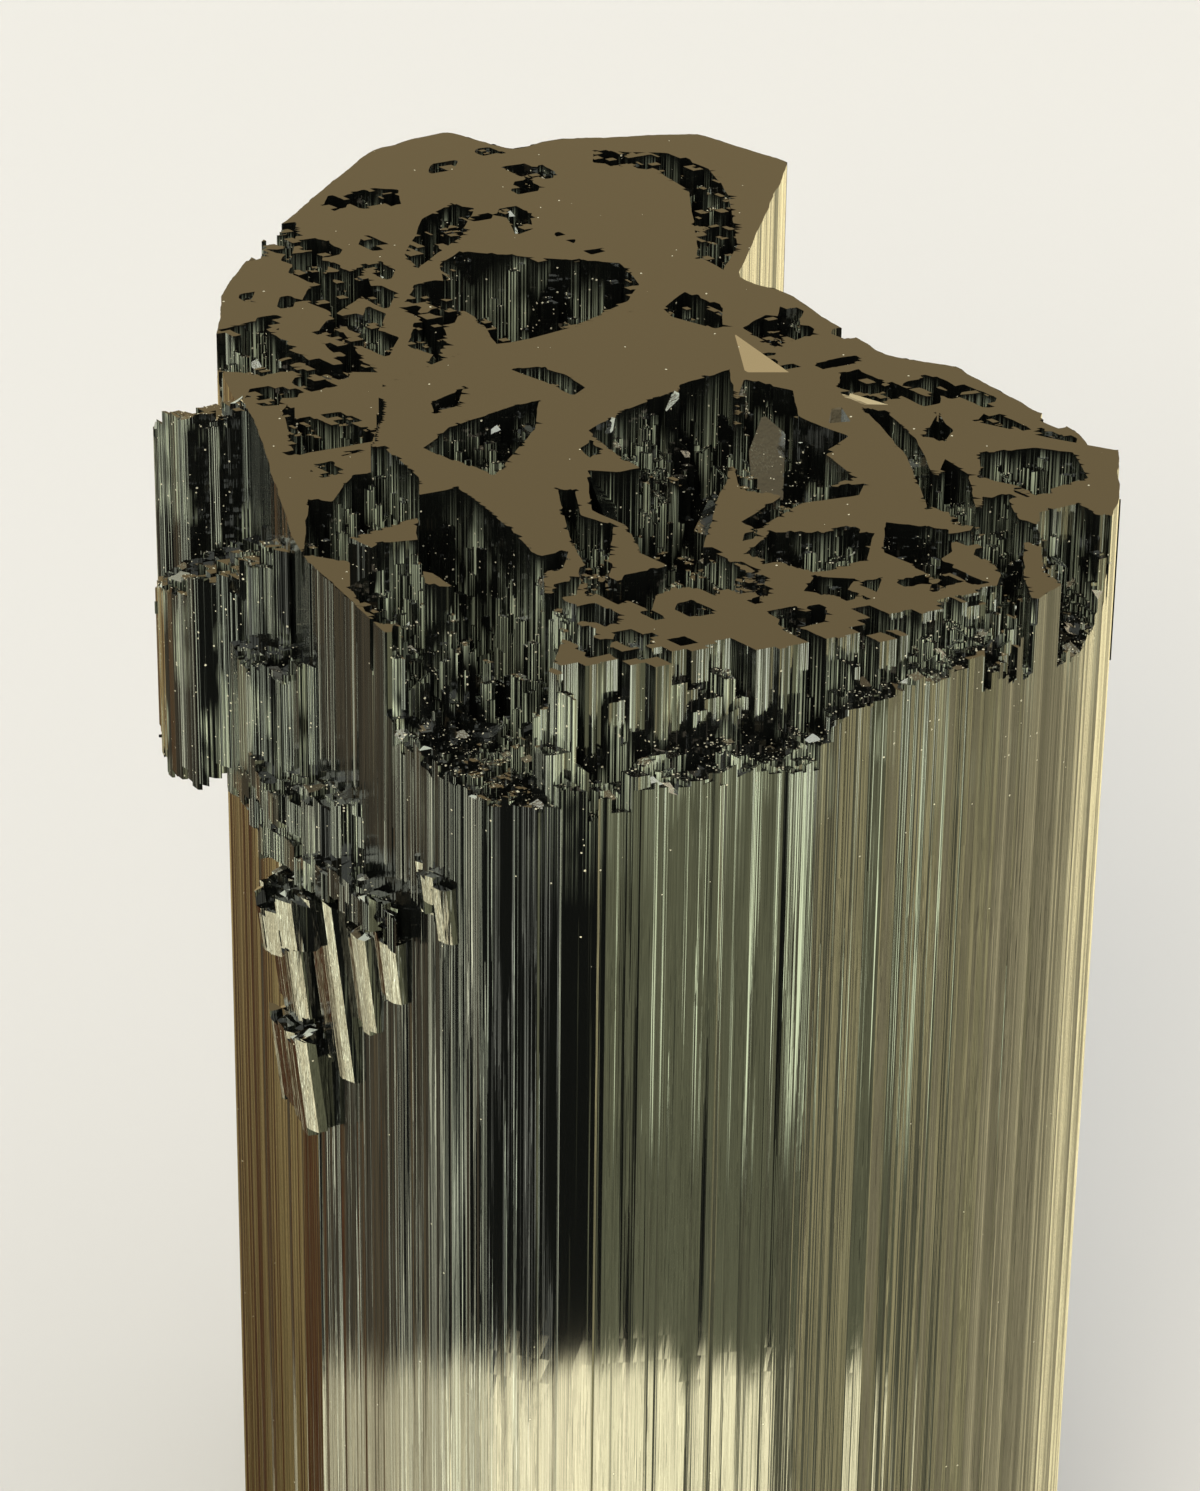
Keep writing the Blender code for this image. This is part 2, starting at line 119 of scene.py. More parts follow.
# Pits in the termination: floor level, and outline in plan.
PITS = {
    "window_pit": (1.4, ((-4.3, 10.3), (-2.5, 9.1), (-1.6, 11.2), (-1.5, 12.6), (-2.2, 12.3), (-3.7, 11.3))),
    "upper_slit": (0.6, ((-2.3, 14.0), (-1.3, 13.3), (-0.7, 12.8), (-0.4, 13.2), (-0.9, 13.8), (-1.6, 14.2))),
    "lower_slit": (0.6, ((-4.2, 12.4), (-4.1, 11.9), (-3.5, 12.2), (-3.3, 13.2))),
    "left_rear_pit": (2.4, ((-7.4, 11.0), (-5.5, 11.7), (-5.3, 13.2), (-6.4, 14.3), (-7.5, 13.9),
        (-7.8, 13.1))),
    "left_front_pit": (3.0, ((-7.0, 6.6), (-5.7, 6.3), (-4.3, 7.2), (-4.3, 9.0), (-5.2, 10.4), (-6.0, 10.2),
        (-6.4, 9.0), (-7.0, 9.2))),
    "hollow_back": (4.2, ((-4.3, 5.2), (-3.0, 3.7), (-1.2, 3.7), (-1.4, 5.4), (-2.1, 6.8), (-3.4, 8.6),
        (-4.4, 8.2))),
    "hollow_left": (2.1, ((-5.3, 3.8), (-4.0, 3.4), (-4.1, 6.3), (-5.2, 6.1), (-5.9, 5.3))),
    "hollow_front": (3.4, ((-4.8, 4.4), (-4.9, -1.0), (-1.6, -1.5), (-0.8, 2.2), (-1.1, 4.0))),
    "narrow_crack": (1.6, ((-1.1, 8.6), (-0.8, 6.4), (-0.4, 5.2), (0.2, 5.3), (0.3, 7.0), (-0.5, 7.4),
        (-0.6, 8.5))),
    "central_wall_pit": (3.5, ((0.9, 9.4), (1.2, 7.3), (2.5, 7.3), (3.0, 9.1), (3.2, 12.4), (3.1, 14.2),
        (1.8, 13.4), (1.5, 11.0))),
    "central_left_step": (1.7, ((-0.4, 11.2), (0.3, 10.1), (1.1, 9.3), (2.0, 11.0), (2.2, 13.5),
        (0.6, 12.3))),
    "central_front_pit": (2.6, ((-0.4, 9.1), (-0.3, 7.6), (0.5, 7.0), (0.9, 5.8), (1.6, 5.2), (2.4, 6.0),
        (2.7, 7.9), (1.0, 9.6))),
    "central_right_pit": (2.3, ((3.0, 10.2), (3.2, 8.6), (4.6, 8.3), (6.0, 9.2), (5.3, 10.3), (5.9, 11.1),
        (4.7, 12.0), (4.6, 13.2), (3.4, 13.7))),
    "right_nook": (1.7, ((6.2, 12.4), (7.2, 10.2), (7.6, 7.8), (8.1, 8.3), (7.5, 11.0), (6.8, 12.3))),
    "groove": (0.8, ((3.2, 7.2), (3.6, 6.8), (4.7, 8.0), (6.1, 8.4), (6.2, 9.0), (4.4, 8.6))),
    "islet_pit": (0.9, ((7.6, 11.1), (8.2, 10.9), (8.4, 11.4), (8.0, 12.3))),
    "right_corner_pit": (1.8, ((8.9, 9.3), (10.3, 8.6), (11.5, 9.3), (11.2, 10.5), (10.3, 10.7),
        (8.9, 10.4))),
    "right_crack": (1.9, ((8.7, 6.4), (9.2, 5.0), (8.8, 3.6), (8.7, 0.6), (10.4, 1.6), (9.8, 4.8), (9.9, 6.9),
        (9.6, 8.3), (8.9, 8.5))),
    "front_dark_pit": (1.3, ((3.3, 5.8), (5.0, 5.0), (6.2, 5.6), (6.4, 6.8), (5.1, 6.8), (3.9, 6.8))),
    "front_right_pit": (1.5, ((6.5, 5.9), (7.5, 5.2), (8.2, 6.0), (8.1, 7.0), (6.6, 7.3))),
    "front_middle_pit": (1.0, ((1.2, 5.1), (1.9, 4.3), (2.9, 4.3), (3.3, 5.2), (2.5, 5.9))),
    "trench": (4.0, ((-4.0, 19.9), (-3.0, 18.4), (-2.7, 17.5), (-1.2, 18.0), (0.6, 19.7), (0.9, 20.6),
        (0.4, 21.7), (-1.7, 21.9), (-3.7, 22.2), (-4.2, 21.5))),
    "rear_wall_pit": (3.0, ((1.4, 19.4), (2.2, 18.2), (3.0, 18.5), (3.0, 19.5), (2.0, 20.3))),
    "rear_dark_pit": (2.8, ((3.4, 18.5), (4.2, 17.5), (5.0, 18.1), (4.9, 19.0), (4.0, 19.2))),
    "rear_slot": (3.0, ((-5.1, 21.9), (-4.7, 21.2), (-3.7, 22.8), (-3.3, 24.4), (-4.0, 24.6), (-4.7, 23.8))),
    "rear_left_pit": (2.9, ((-7.6, 19.6), (-6.7, 18.9), (-5.8, 20.1), (-6.0, 21.3), (-7.3, 20.8))),
    "rear_left_groove": (2.5, ((-7.2, 18.0), (-6.3, 16.1), (-5.5, 16.1), (-6.0, 17.0), (-6.8, 18.9))),
    "rear_wedge": (2.7, ((-4.9, 17.4), (-4.1, 16.9), (-3.8, 17.8), (-4.3, 19.3), (-4.8, 18.5))),
    "left_notch": (2.6, ((-10.2, 16.2), (-8.2, 15.9), (-7.1, 16.5), (-7.8, 17.5), (-8.7, 18.6),
        (-10.2, 17.8))),
    "rear_edge_notch": (2.4, ((-10.0, 22.4), (-7.9, 21.8), (-7.8, 22.9), (-9.2, 23.9))),
    "rear_small_pit": (2.2, ((-2.6, 24.1), (-2.3, 22.9), (-1.8, 23.3), (-2.0, 24.4))),
    "rear_faint_pit": (2.0, ((-6.9, 24.8), (-6.2, 24.2), (-5.2, 24.5), (-5.3, 25.3), (-6.2, 25.4))),
    "rear_left_nick": (2.3, ((-5.2, 19.2), (-4.7, 18.9), (-4.3, 19.9), (-4.8, 20.3))),
    "rear_right_nick": (2.4, ((7.0, 15.9), (8.0, 15.2), (8.9, 15.6), (8.2, 16.3))),
    "rear_right_slot": (2.5, ((8.9, 13.9), (10.2, 12.9), (10.9, 13.2), (10.0, 14.4), (9.3, 14.7))),
    "bevel_nick": (2.2, ((5.6, 15.6), (6.6, 14.8), (7.4, 15.3), (6.3, 16.4))),
    "platform_hole": (0.7, ((-0.6, 10.4), (-0.3, 9.9), (0.0, 10.3), (-0.3, 10.8))),
    "front_left_hole": (0.9, ((-0.4, 4.2), (0.4, 3.5), (0.9, 4.0), (0.2, 4.7))),
    "front_strip_hole": (1.1, ((4.6, 4.2), (5.6, 4.0), (5.9, 4.8), (4.9, 4.9))),
    "island_gap": (1.5, ((7.8, 9.0), (8.2, 7.2), (8.9, 7.0), (8.7, 9.4), (8.1, 10.2))),
    "back_trench": (3.1, ((2.3, 22.0), (3.0, 21.3), (3.4, 22.6), (3.2, 25.2), (2.7, 26.6), (1.6, 27.4),
        (-0.4, 27.5), (-0.4, 26.8), (1.3, 26.4), (2.1, 25.4))),
    "corner_chip": (2.3, ((10.2, 5.2), (11.0, 4.0), (13.6, 4.4), (13.6, 7.6), (11.6, 7.7), (11.2, 8.2),
        (10.2, 7.8))),
}

# Sizes of the blocks in a pit that drop alike, that are rough alike and that share a grain.
PIT_BLOCK, ROUGH_BLOCK, GRAIN_BLOCK = 0.3, 0.22, 0.12
PIT_SHEER, SCATTERED_SHEER = 0.66, 0.8  # share of the blocks in a pit that drop straight to its floor
# Depth of the ledges as a share of the floor's: first, more by roughness, more per millimetre from the
# wall, and the least in all.
LEDGE, LEDGE_ROUGH, LEDGE_FALL, LEAST_LEDGE = 0.2, 0.5, 0.6, 0.12
PIT_MARGIN = 0.2  # around a pit, for telling whether the lattice is near it
FLOOR_ROUGH, FLOOR_GRAIN = 0.12, 0.08  # unevenness of a floor, as a share of its depth and in millimetres
PIT_RIBS = {"rib_width": 0.3, "rib_depth": 0.05, "stria_depth": 0.012, "setback": 0.05}  # of its outline
DEEPEST = SKIRT - 0.6  # level of the lowest floor
LOWEST_TIP = SKIRT - 0.3  # level of the lowest point of a tilted top
FOOT_TOP = 0.01  # above the skirt, below which all is foot and nothing is broken

# Ground that broke up into small angular pits: how many, their largest side, their greatest depth below
# the ground there, and the region in plan.
BROKEN_GROUND = {
    "left_rear_slope": (34, 0.95, 1.3, ((-9.2, 14.5), (-5.5, 14.5), (-3.5, 18.0), (-4.5, 22.5), (-7.0, 25.5),
        (-9.3, 23.0))),
    "rear_middle": (14, 0.7, 0.9, ((-4.5, 22.0), (1.5, 22.0), (1.5, 27.0), (-5.0, 28.0))),
    "rear_right": (26, 0.9, 1.2, ((3.6, 17.0), (6.0, 13.6), (12.0, 11.2), (11.8, 13.6), (8.0, 17.0),
        (4.6, 19.8))),
    "left_strip": (7, 0.6, 1.2, ((-8.0, 10.0), (-6.4, 7.0), (-5.6, 8.0), (-6.2, 12.5), (-8.0, 12.5))),
    "front_left": (26, 0.8, 2.2, ((-5.0, 3.5), (-1.0, 0.0), (2.0, 0.0), (1.2, 4.6), (-1.0, 6.0))),
    "front_middle": (30, 0.75, 1.2, ((0.8, 3.0), (6.0, 2.2), (8.4, 4.5), (8.0, 7.2), (3.2, 6.8), (0.8, 5.0))),
    "front_right": (26, 0.8, 1.3, ((7.0, 2.5), (12.0, 5.0), (12.2, 9.6), (9.0, 10.2), (7.5, 8.0))),
}

SIDE_SHARES, SIDE_POWER = (0.08, 1.0), 1.3  # of their largest side, and how much the short ones prevail
SIDE_EXTRA = 0.9  # of the sides that can take a length from each other
LEAST_DEPTH = 0.12

# Single sloping facets: level at the first corner, fall per millimetre to the right and to the back, and
# outline in plan.
FACETS = {
    "back_triangle": (0.0, (0.25, 0.033), ((3.42, 14.0), (5.1, 14.04), (3.3, 16.05), (3.19, 15.77))),
    "back_sliver": (0.02, (0.15, 0.2), ((5.7, 13.13), (5.93, 12.57), (7.25, 12.56), (6.47, 13.28))),
    "green_facet": (0.05, (1.3, 0.1), ((-0.37, 9.41), (0.35, 7.2), (0.34, 9.34))),
    "white_facet": (0.1, (0.3, -0.9), ((3.42, 13.82), (3.11, 12.23), (3.53, 13.08))),
    "grey_facet": (1.9, (0.2, -0.8), ((3.59, 11.42), (4.35, 11.44), (4.4, 12.78), (3.85, 13.09),
        (3.52, 12.29))),
    "tan_incline": (1.8, (0.5, -0.1), ((2.19, 9.62), (2.86, 9.72), (3.33, 11.31), (2.63, 11.43))),
    "small_right": (0.5, (0.3, -0.8), ((5.39, 11.67), (5.92, 11.77), (5.69, 12.51), (5.5, 12.5))),
    "left_small_top": (0.3, (-0.6, -0.6), ((0.02, 11.51), (0.23, 11.47), (0.35, 12.17))),
    "grey_left": (0.4, (-0.5, -0.7), ((1.45, 12.65), (1.82, 12.85), (1.82, 13.36))),
    "right_sliver": (1.45, (0.3, -0.4), ((11.1, 11.95), (11.76, 10.82), (12.2, 10.83), (11.73, 12.5))),
}

FACET_RIBS = {"rib_width": 0.3, "rib_depth": 0.0, "stria_depth": 0.0, "setback": 0.02}

# Tilted tops, on small blocks and on large ones: how far they lie below the ground, and how they tilt.
SMALL_TILT_DEPTH, SMALL_TILTS = 0.2, {"size": 0.24, "chance": 0.3, "most": 1.0}
LARGE_TILT_DEPTH, LARGE_TILTS = 0.5, {"size": 0.7, "chance": 0.09, "most": 0.9}

SNAP_ROUNDS = 3
SNAP_REACH = 1.8  # usual spacings of a lattice from which a point still moves onto an outline
LEAST_CELL = 0.04  # twice a cell's area over the square of that reach, below which its points go back

# How broken the surface is, from 0 to 1: it is all broken at this depth below the ground there, and less
# on the wall near the prism's outline and on the facets.
# The finish sets its dull lines, its dust and its painted highlights by this amount.
BROKEN_DEPTH = 0.5
NEAR_OUTLINE, OUTLINE_BROKEN = 0.1, 0.25
FACET_BROKEN, GROWTH_BROKEN, BLADE_BROKEN = 0.15, 0.6, 0.08

# The chipped band along the front rim: its run in plan, how deep it is at places along x, and how wide.
RIM_RUN = ((-4.7, 2.9), (-3.9, 1.8), (-2.6, 0.5), (-0.9, 0.0), (1.0, 0.0), (5.0, 0.9), (9.3, 3.0))
RIM_DEPTHS = ((-4.7, 3.9), (0.5, 3.6), (0.9, 2.9), (5.1, 2.8), (5.6, 1.5), (9.3, 0.9))
RIM_WIDTH = 2.4
RIM_ENDS = (-5.2, 9.8)  # along x
CHIP_BLOCK, STRETCH_BLOCK = 0.4, 1.2  # sizes of blocks that break alike, and of stretches of the rim
# The reach of the chips, as shares of the rim's width: at least, at random by stretch and by block.
CHIP_REACH = (0.1, 0.5, 0.2)
CHIP_SHEER = (0.75, 0.25)  # share of the depth where all broke away: at least, and more at random
CHIP_PART = (0.2, 0.45)  # the same for the blocks behind
BEHIND_WIDTH, BEHIND_CHANCE = 0.45, 0.5  # how far behind they reach, and how many of them break

# Growths on the left flank: level of the top at its front right, its fall per millimetre to the left and
# to the back, level of the foot, its rise per millimetre to the left, and outline in plan.
GROWTHS = {
    "side_crystal": (0.1, (0.3, 0.7), 8.4, 0.5, (
        (-8.4, 12.9), (-9.2, 16.4), (-9.9, 16.6), (-11.15, 15.0), (-11.15, 14.2), (-10.3, 13.4),
    )),
    "side_crystal_step": (0.5, (0.5, 0.5), 6.9, -0.7, (
        (-6.9, 9.4), (-7.8, 14.0), (-10.6, 14.3), (-11.05, 12.2), (-10.6, 9.6), (-9.9, 8.4), (-8.6, 7.8),
        (-7.2, 7.2),
    )),
    "broken_column_high": (3.2, (0.15, 0.2), 9.6, 0.3, (
        (-6.2, 7.2), (-8.4, 9.5), (-9.2, 8.3), (-8.3, 6.8), (-7.0, 6.0), (-6.0, 5.9),
    )),
    "broken_column_middle": (6.0, (0.3, 0.0), 9.6, 0.4, (
        (-5.4, 5.4), (-7.9, 9.2), (-8.8, 7.6), (-7.9, 5.9), (-6.5, 4.6), (-5.2, 3.9),
    )),
    "broken_column_low": (7.9, (0.2, 0.0), 9.4, 0.0, (
        (-4.6, 3.7), (-7.2, 7.6), (-8.3, 6.8), (-7.1, 4.9), (-5.6, 3.0), (-4.6, 2.2),
    )),
}

GROWTH_RIB_WIDTH, GROWTH_STRIA, GROWTH_SETBACK = 0.4, 0.02, 0.12
GROWTH_JITTER = 0.26  # of the lattice points, as a share of the pitch
GROWTH_TILTS = {"size": 0.25, "chance": 0.4, "most": 0.7}
GROWTH_RAGGED = {"rib_depth": 0.18, "ledges": 0.35}
BLADE_RAGGED = {"rib_depth": 0.02, "ledges": 0.3}
GROWTH_BLOCK, GROWTH_SPLINTER = 0.9, 0.36  # sizes of blocks that end alike
GROWTH_LEDGES = 1.6  # how unevenly the blocks end, before the group's own share of it
LEAST_COLUMN, LEAST_TILTED_COLUMN = 0.8, 0.2  # height before its top tilts, and after

# Blades of the lower cluster: middle in plan, level of the top, length, width along the flank,
# thickness away from it, and degrees from +x that the blade is turned.
BLADES = {
    "blade_crescent": ((-7.05, 5.97), 9.2, 1.9, 1.7, 2.4, -32.0),
    "blade_outer": ((-6.98, 7.08), 11.3, 2.8, 1.7, 1.8, -62.0),
    "blade_foot": ((-7.0, 6.75), 14.0, 3.1, 2.3, 1.6, -62.0),
    "blade_long": ((-6.1, 5.45), 9.1, 5.8, 1.7, 1.7, -62.0),
    "blade_ribbed": ((-5.32, 4.3), 9.2, 3.6, 1.15, 1.4, -62.0),
    "blade_bright": ((-4.64, 3.38), 8.7, 2.6, 1.15, 1.4, -62.0),
    "blade_short": ((-3.64, 2.11), 6.1, 1.6, 1.1, 1.3, -62.0),
    "blade_right": ((-3.37, 1.68), 6.3, 1.7, 0.85, 1.2, -61.0),
}
BLADE_BEVEL = (0.33, 0.175)  # of a blade's long edges, along its face and back from it
BLADE_LEAN = 5.6  # degrees that the blades lean out of the upright, feet to the right

# Slow changes of the striae down the prism: width and depth in millimetres, and waves from top to bottom.
DRIFTS = ((0.5, 0.016, 1.3), (0.16, 0.008, 2.1), (1.6, 0.02, 0.8))
DRIFT_SWING, DRIFT_LEAN = 0.35, 1.2  # share of that depth, and how far its middle lies to one side
DRIFT_FADE = 12  # shares of the prism's length, in the first of which the drift sets in

# Half-width of the loose grains, most of them near the least, and their shape: length, width and height.
LEAST_GRAIN, MOST_GRAIN, GRAIN_POWER = 0.012, 0.042, 3
GRAIN_SHAPE = (1.4, 1.0, 0.8)
GRAIN_DEPTH = 0.3  # below the ground, from which on there are grains

# The camera's view: focal length for a 36 mm high sensor, its place from the middle of the front rim in
# the plan's millimetres and above the termination, how far it looks down and how far it is rolled.
LENS, SENSOR = 164.0, 36.0
CAMERA_AT = (0.015, -127.397, 84.4245)
LOOK_DOWN = 34.0
ROLL = 0.683


# ---------------------------------------------------------------- settings

def linear(hex_colour):
    """The sRGB hex colour as linear RGBA."""
    channels = [int(hex_colour[i:i + 2], 16) / 255 for i in (1, 3, 5)]
    return [c / 12.92 if c <= 0.04045 else ((c + 0.055) / 1.055) ** 2.4 for c in channels] + [1.0]


class SchorlSizes(bpy.types.PropertyGroup):
    """Sizes and counts that can be changed before the pieces are built"""
    front_pitch: bpy.props.FloatProperty(
        name="Front column width", description="Mean width of a column of the platform",
        default=0.078 * MM, min=0.04 * MM, max=0.4 * MM, precision=6, unit="LENGTH", subtype="DISTANCE")
    rear_pitch: bpy.props.FloatProperty(
        name="Rear column width", description="Mean width of a column of the rear terrace",
        default=0.105 * MM, min=0.05 * MM, max=0.4 * MM, precision=6, unit="LENGTH", subtype="DISTANCE")
    growth_pitch: bpy.props.FloatProperty(
        name="Flank column width", description="Mean width of a column of the flank growths",
        default=0.19 * MM, min=0.04 * MM, max=0.4 * MM, precision=6, unit="LENGTH", subtype="DISTANCE")
    rib_width: bpy.props.FloatProperty(
        name="Rib width", description="Mean width of a broad rib of the prism",
        default=0.55 * MM, min=0.1 * MM, max=3.0 * MM, precision=6, unit="LENGTH", subtype="DISTANCE")
    rib_depth: bpy.props.FloatProperty(
        name="Rib depth", description="Depth of the broad ribs of the prism",
        default=0.07 * MM, min=0.0, max=0.3 * MM, precision=6, unit="LENGTH", subtype="DISTANCE")
    stria_depth: bpy.props.FloatProperty(
        name="Stria depth", description="Depth of the fine striae of the prism",
        default=0.022 * MM, min=0.0, max=0.1 * MM, precision=6, unit="LENGTH", subtype="DISTANCE")
    prism_rows: bpy.props.IntProperty(
        name="Prism rows", description="Rows of faces along the prism", default=48, min=4, max=80)
    grains: bpy.props.IntProperty(
        name="Grains", description="Number of loose grains in the pits", default=1800, min=0, max=5000)


class SchorlColours(bpy.types.PropertyGroup):
    """Colours that can be changed before the pieces are built"""
    body: bpy.props.FloatVectorProperty(
        name="Body", description="Colour of the crystal",
        default=linear("#0b0c0a"), size=4, min=0.0, max=1.0, subtype="COLOR")
    # Painted highlight: the pale colour given to the dull lines of upright broken walls, standing in for the
    # light that their fine striae catch.
    painted_highlight: bpy.props.FloatVectorProperty(
        name="Streaks", description="Colour of cleaved streaks on broken walls",
        default=linear("#bcc6a8"), size=4, min=0.0, max=1.0, subtype="COLOR")
    grain: bpy.props.FloatVectorProperty(
        name="Grains", description="Colour of the loose grains",
        default=linear("#b9b49a"), size=4, min=0.0, max=1.0, subtype="COLOR")
    floor: bpy.props.FloatVectorProperty(
        name="Floor", description="Colour of the floor",
        default=linear("#d2d0c9"), size=4, min=0.0, max=1.0, subtype="COLOR")


def in_mm(size):
    """A kept length in millimetres, in the single precision that properties have."""
    return float(np.float32(round(size / MM, 6)))


# ---------------------------------------------------------------- plan geometry

def world(points):
    """Plan millimetres and heights above the termination, as an array of rows, in metres."""
    return (points + np.array([-PLAN_CENTRE[0], -PLAN_CENTRE[1], HEIGHT])) * MM


def inside(x, y, corners):
    """True where (x, y) lies in the polygon: a ray to the right crosses its sides an odd number of times."""
    found = np.zeros(np.shape(x), bool)
    for (x0, y0), (x1, y1) in zip(corners, corners[1:] + corners[:1]):
        if y0 != y1:
            found ^= ((y0 > y) != (y1 > y)) & (x < (x1 - x0) * (y - y0) / (y1 - y0) + x0)
    return found


def to_line(x, y, line):
    """Distance to the open line through these points, and how far along it the nearest point is."""
    best = np.full(np.shape(x), np.inf)
    along = np.zeros(np.shape(x))
    passed = 0.0
    for (x0, y0), (x1, y1) in zip(line, line[1:]):
        length = math.hypot(x1 - x0, y1 - y0)
        share = np.clip(((x - x0) * (x1 - x0) + (y - y0) * (y1 - y0)) / length ** 2, 0, 1)
        far = np.hypot(x - x0 - share * (x1 - x0), y - y0 - share * (y1 - y0))
        along = np.where(far < best, passed + share * length, along)
        best = np.minimum(far, best)
        passed += length
    return best, along


def depth_in(x, y, corners):
    """Distance to the polygon's outline, positive inside."""
    far, _ = to_line(x, y, corners + corners[:1])
    return np.where(inside(x, y, corners), far, -far)


def rounded(corners, setback):
    """The closed outline with each corner replaced by three points of a parabola set back along its sides."""
    ring = np.array(corners, float)
    before, after = np.roll(ring, 1, axis=0) - ring, np.roll(ring, -1, axis=0) - ring
    reach = np.minimum(setback, 0.4 * np.minimum(np.hypot(*before.T), np.hypot(*after.T)))[:, None]
    first = ring + before / np.hypot(*before.T)[:, None] * reach
    last = ring + after / np.hypot(*after.T)[:, None] * reach
    middle = 0.25 * first + 0.5 * ring + 0.25 * last
    return [tuple(p) for p in np.stack([first, middle, last], 1).reshape(-1, 2)]


class Outline:
    """A closed outline with ribs. Its place, outward normal and ribs are functions of the distance along
    it."""

    def __init__(self, corners, seed, rib_width, rib_depth, stria_depth, setback):
        self.corners = rounded(corners, setback)
        ring = np.array(self.corners + self.corners[:1])
        sides = np.diff(ring, axis=0)
        lengths = np.hypot(*sides.T)
        self.marks = np.concatenate([[0], np.cumsum(lengths)])
        self.length = self.marks[-1]
        normals = np.stack([sides[:, 1], -sides[:, 0]], 1) / lengths[:, None]
        at_corners = normals + np.roll(normals, 1, axis=0)
        at_corners /= np.hypot(*at_corners.T)[:, None]
        self.normals = np.concatenate([at_corners, at_corners[:1]])
        self.ring = ring
        rng = np.random.default_rng(seed)
        self.calm = []
        self.layers = [self.wave(rng, rib_width, rib_depth),
                       self.wave(rng, FINE_RIB, FINE_RIB_SHARE * rib_depth),
                       self.wave(rng, STRIA, stria_depth)]

    def wave(self, rng, width, depth):
        """A broken line of random heights at uneven steps along the outline, closed on itself."""
        knots = np.cumsum(rng.uniform(*RIB_SPREAD, int(self.length / width)) * width)
        knots *= self.length / knots[-1]
        heights = -depth * rng.random(len(knots))
        return np.concatenate([[0], knots]), np.concatenate([heights[-1:], heights])

    def ribs(self, along):
        """Depth of the ribs, nearly nothing on the calm stretches."""
        depth = sum(np.interp(along, *layer) for layer in self.layers)
        for start, end in self.calm:
            depth = np.where((along > start) & (along < end), CALM_SHARE * depth, depth)
        return depth

    def place(self, along, offset=0.0):
        """Points at these distances along the outline, moved out by the ribs and the offset."""
        point = np.stack([np.interp(along, self.marks, self.ring[:, i]) for i in (0, 1)], -1)
        normal = np.stack([np.interp(along, self.marks, self.normals[:, i]) for i in (0, 1)], -1)
        return point + normal * (self.ribs(along) + offset)[..., None]

    def nearest(self, x, y):
        """Distance to the outline without its ribs, and how far along it the nearest point is."""
        return to_line(x, y, self.corners + self.corners[:1])


# ---------------------------------------------------------------- lattices of columns

def edge_direction(turn):
    """The direction in plan that is turned this far from the nearest prism edge: its cosine and sine."""
    angle = math.radians(FACE_TURN + turn)
    return np.array([math.cos(angle), math.sin(angle)])


AXES = np.stack([edge_direction(0.0), edge_direction(LATTICE_ANGLE)])


def uneven(low, high, mean, rng):
    """Lattice lines from low to high, whose spacings vary from about half to one and a half of the mean."""
    return low + np.cumsum(mean * rng.uniform(*LINE_SPREAD, int((high - low) / mean * 1.05) + 2))


class Lattice:
    """Points along two prism directions at uneven steps, which cover an outline, and the cells between."""

    def __init__(self, corners, pitch, rng, jitter=0.1):
        self.rng = rng
        lattice = np.array(corners) @ np.linalg.inv(AXES)
        (s0, t0), (s1, t1) = lattice.min(0) - 3 * pitch, lattice.max(0) + 3 * pitch
        self.s, self.t = uneven(s0, s1, pitch, rng), uneven(t0, t1, pitch, rng)
        grid = np.stack(np.meshgrid(self.s, self.t, indexing="ij"), -1)
        self.points = grid @ AXES + rng.uniform(-jitter, jitter, grid.shape) * pitch
        self.cell_s = (self.s[:-1] + self.s[1:])[:, None] / 2 + 0 * self.t[None, 1:]
        self.cell_t = (self.t[:-1] + self.t[1:])[None, :] / 2 + 0 * self.s[1:, None]
        self.x, self.y = self.plan(self.cell_s, self.cell_t)
        self.level = np.zeros(self.x.shape)
        self.lean = np.zeros(self.x.shape + (2,))
        self.block_x, self.block_y = self.x.copy(), self.y.copy()
        self.drawn = []
        self.chipped = np.zeros(self.x.shape, bool)

    @staticmethod
    def plan(s, t):
        """Plan place of the sum of so much of each lattice direction."""
        return s * AXES[0, 0] + t * AXES[1, 0], s * AXES[0, 1] + t * AXES[1, 1]

    def blocks(self, size):
        """Cuts the lattice into blocks of about this size: the block's number, its middle and a random
        number for each cell, the same all over a block. Rows of blocks are shifted against each other."""
        rng = self.rng
        rows = np.floor(self.cell_s / size + rng.random()).astype(int)
        rows -= rows.min()
        shift = rng.random(rows.max() + 1)
        stretch = rng.uniform(*BLOCK_SPREAD, rows.max() + 1)
        columns = np.floor(self.cell_t / (size * stretch[rows]) + shift[rows]).astype(int)
        columns -= columns.min()
        number = rows * (columns.max() + 1) + columns
        count = number.max() + 1
        filled = np.maximum(np.bincount(number.ravel(), minlength=count), 1)
        middle_x = np.bincount(number.ravel(), self.x.ravel(), count) / filled
        middle_y = np.bincount(number.ravel(), self.y.ravel(), count) / filled
        return number, middle_x[number], middle_y[number], rng.random(count)[number]

    def random_of(self, number):
        """One random number for each block, at its cells."""
        return self.rng.random(number.max() + 1)[number]


def without_slivers(keep):
    """Takes out cells that hang on by a corner or stand one cell wide, which can't follow an outline."""
    keep = keep.copy()
    keep[[0, -1], :] = keep[:, [0, -1]] = False
    for _ in range(4):
        thin = ~np.roll(keep, 1, 0) & ~np.roll(keep, -1, 0) | ~np.roll(keep, 1, 1) & ~np.roll(keep, -1, 1)
        keep &= ~thin
        lone = keep[:-1, :-1] & keep[1:, 1:] & ~keep[1:, :-1] & ~keep[:-1, 1:]
        keep[:-1, :-1] &= ~lone
        lone = keep[1:, :-1] & keep[:-1, 1:] & ~keep[:-1, :-1] & ~keep[1:, 1:]
        keep[1:, :-1] &= ~lone
    return keep


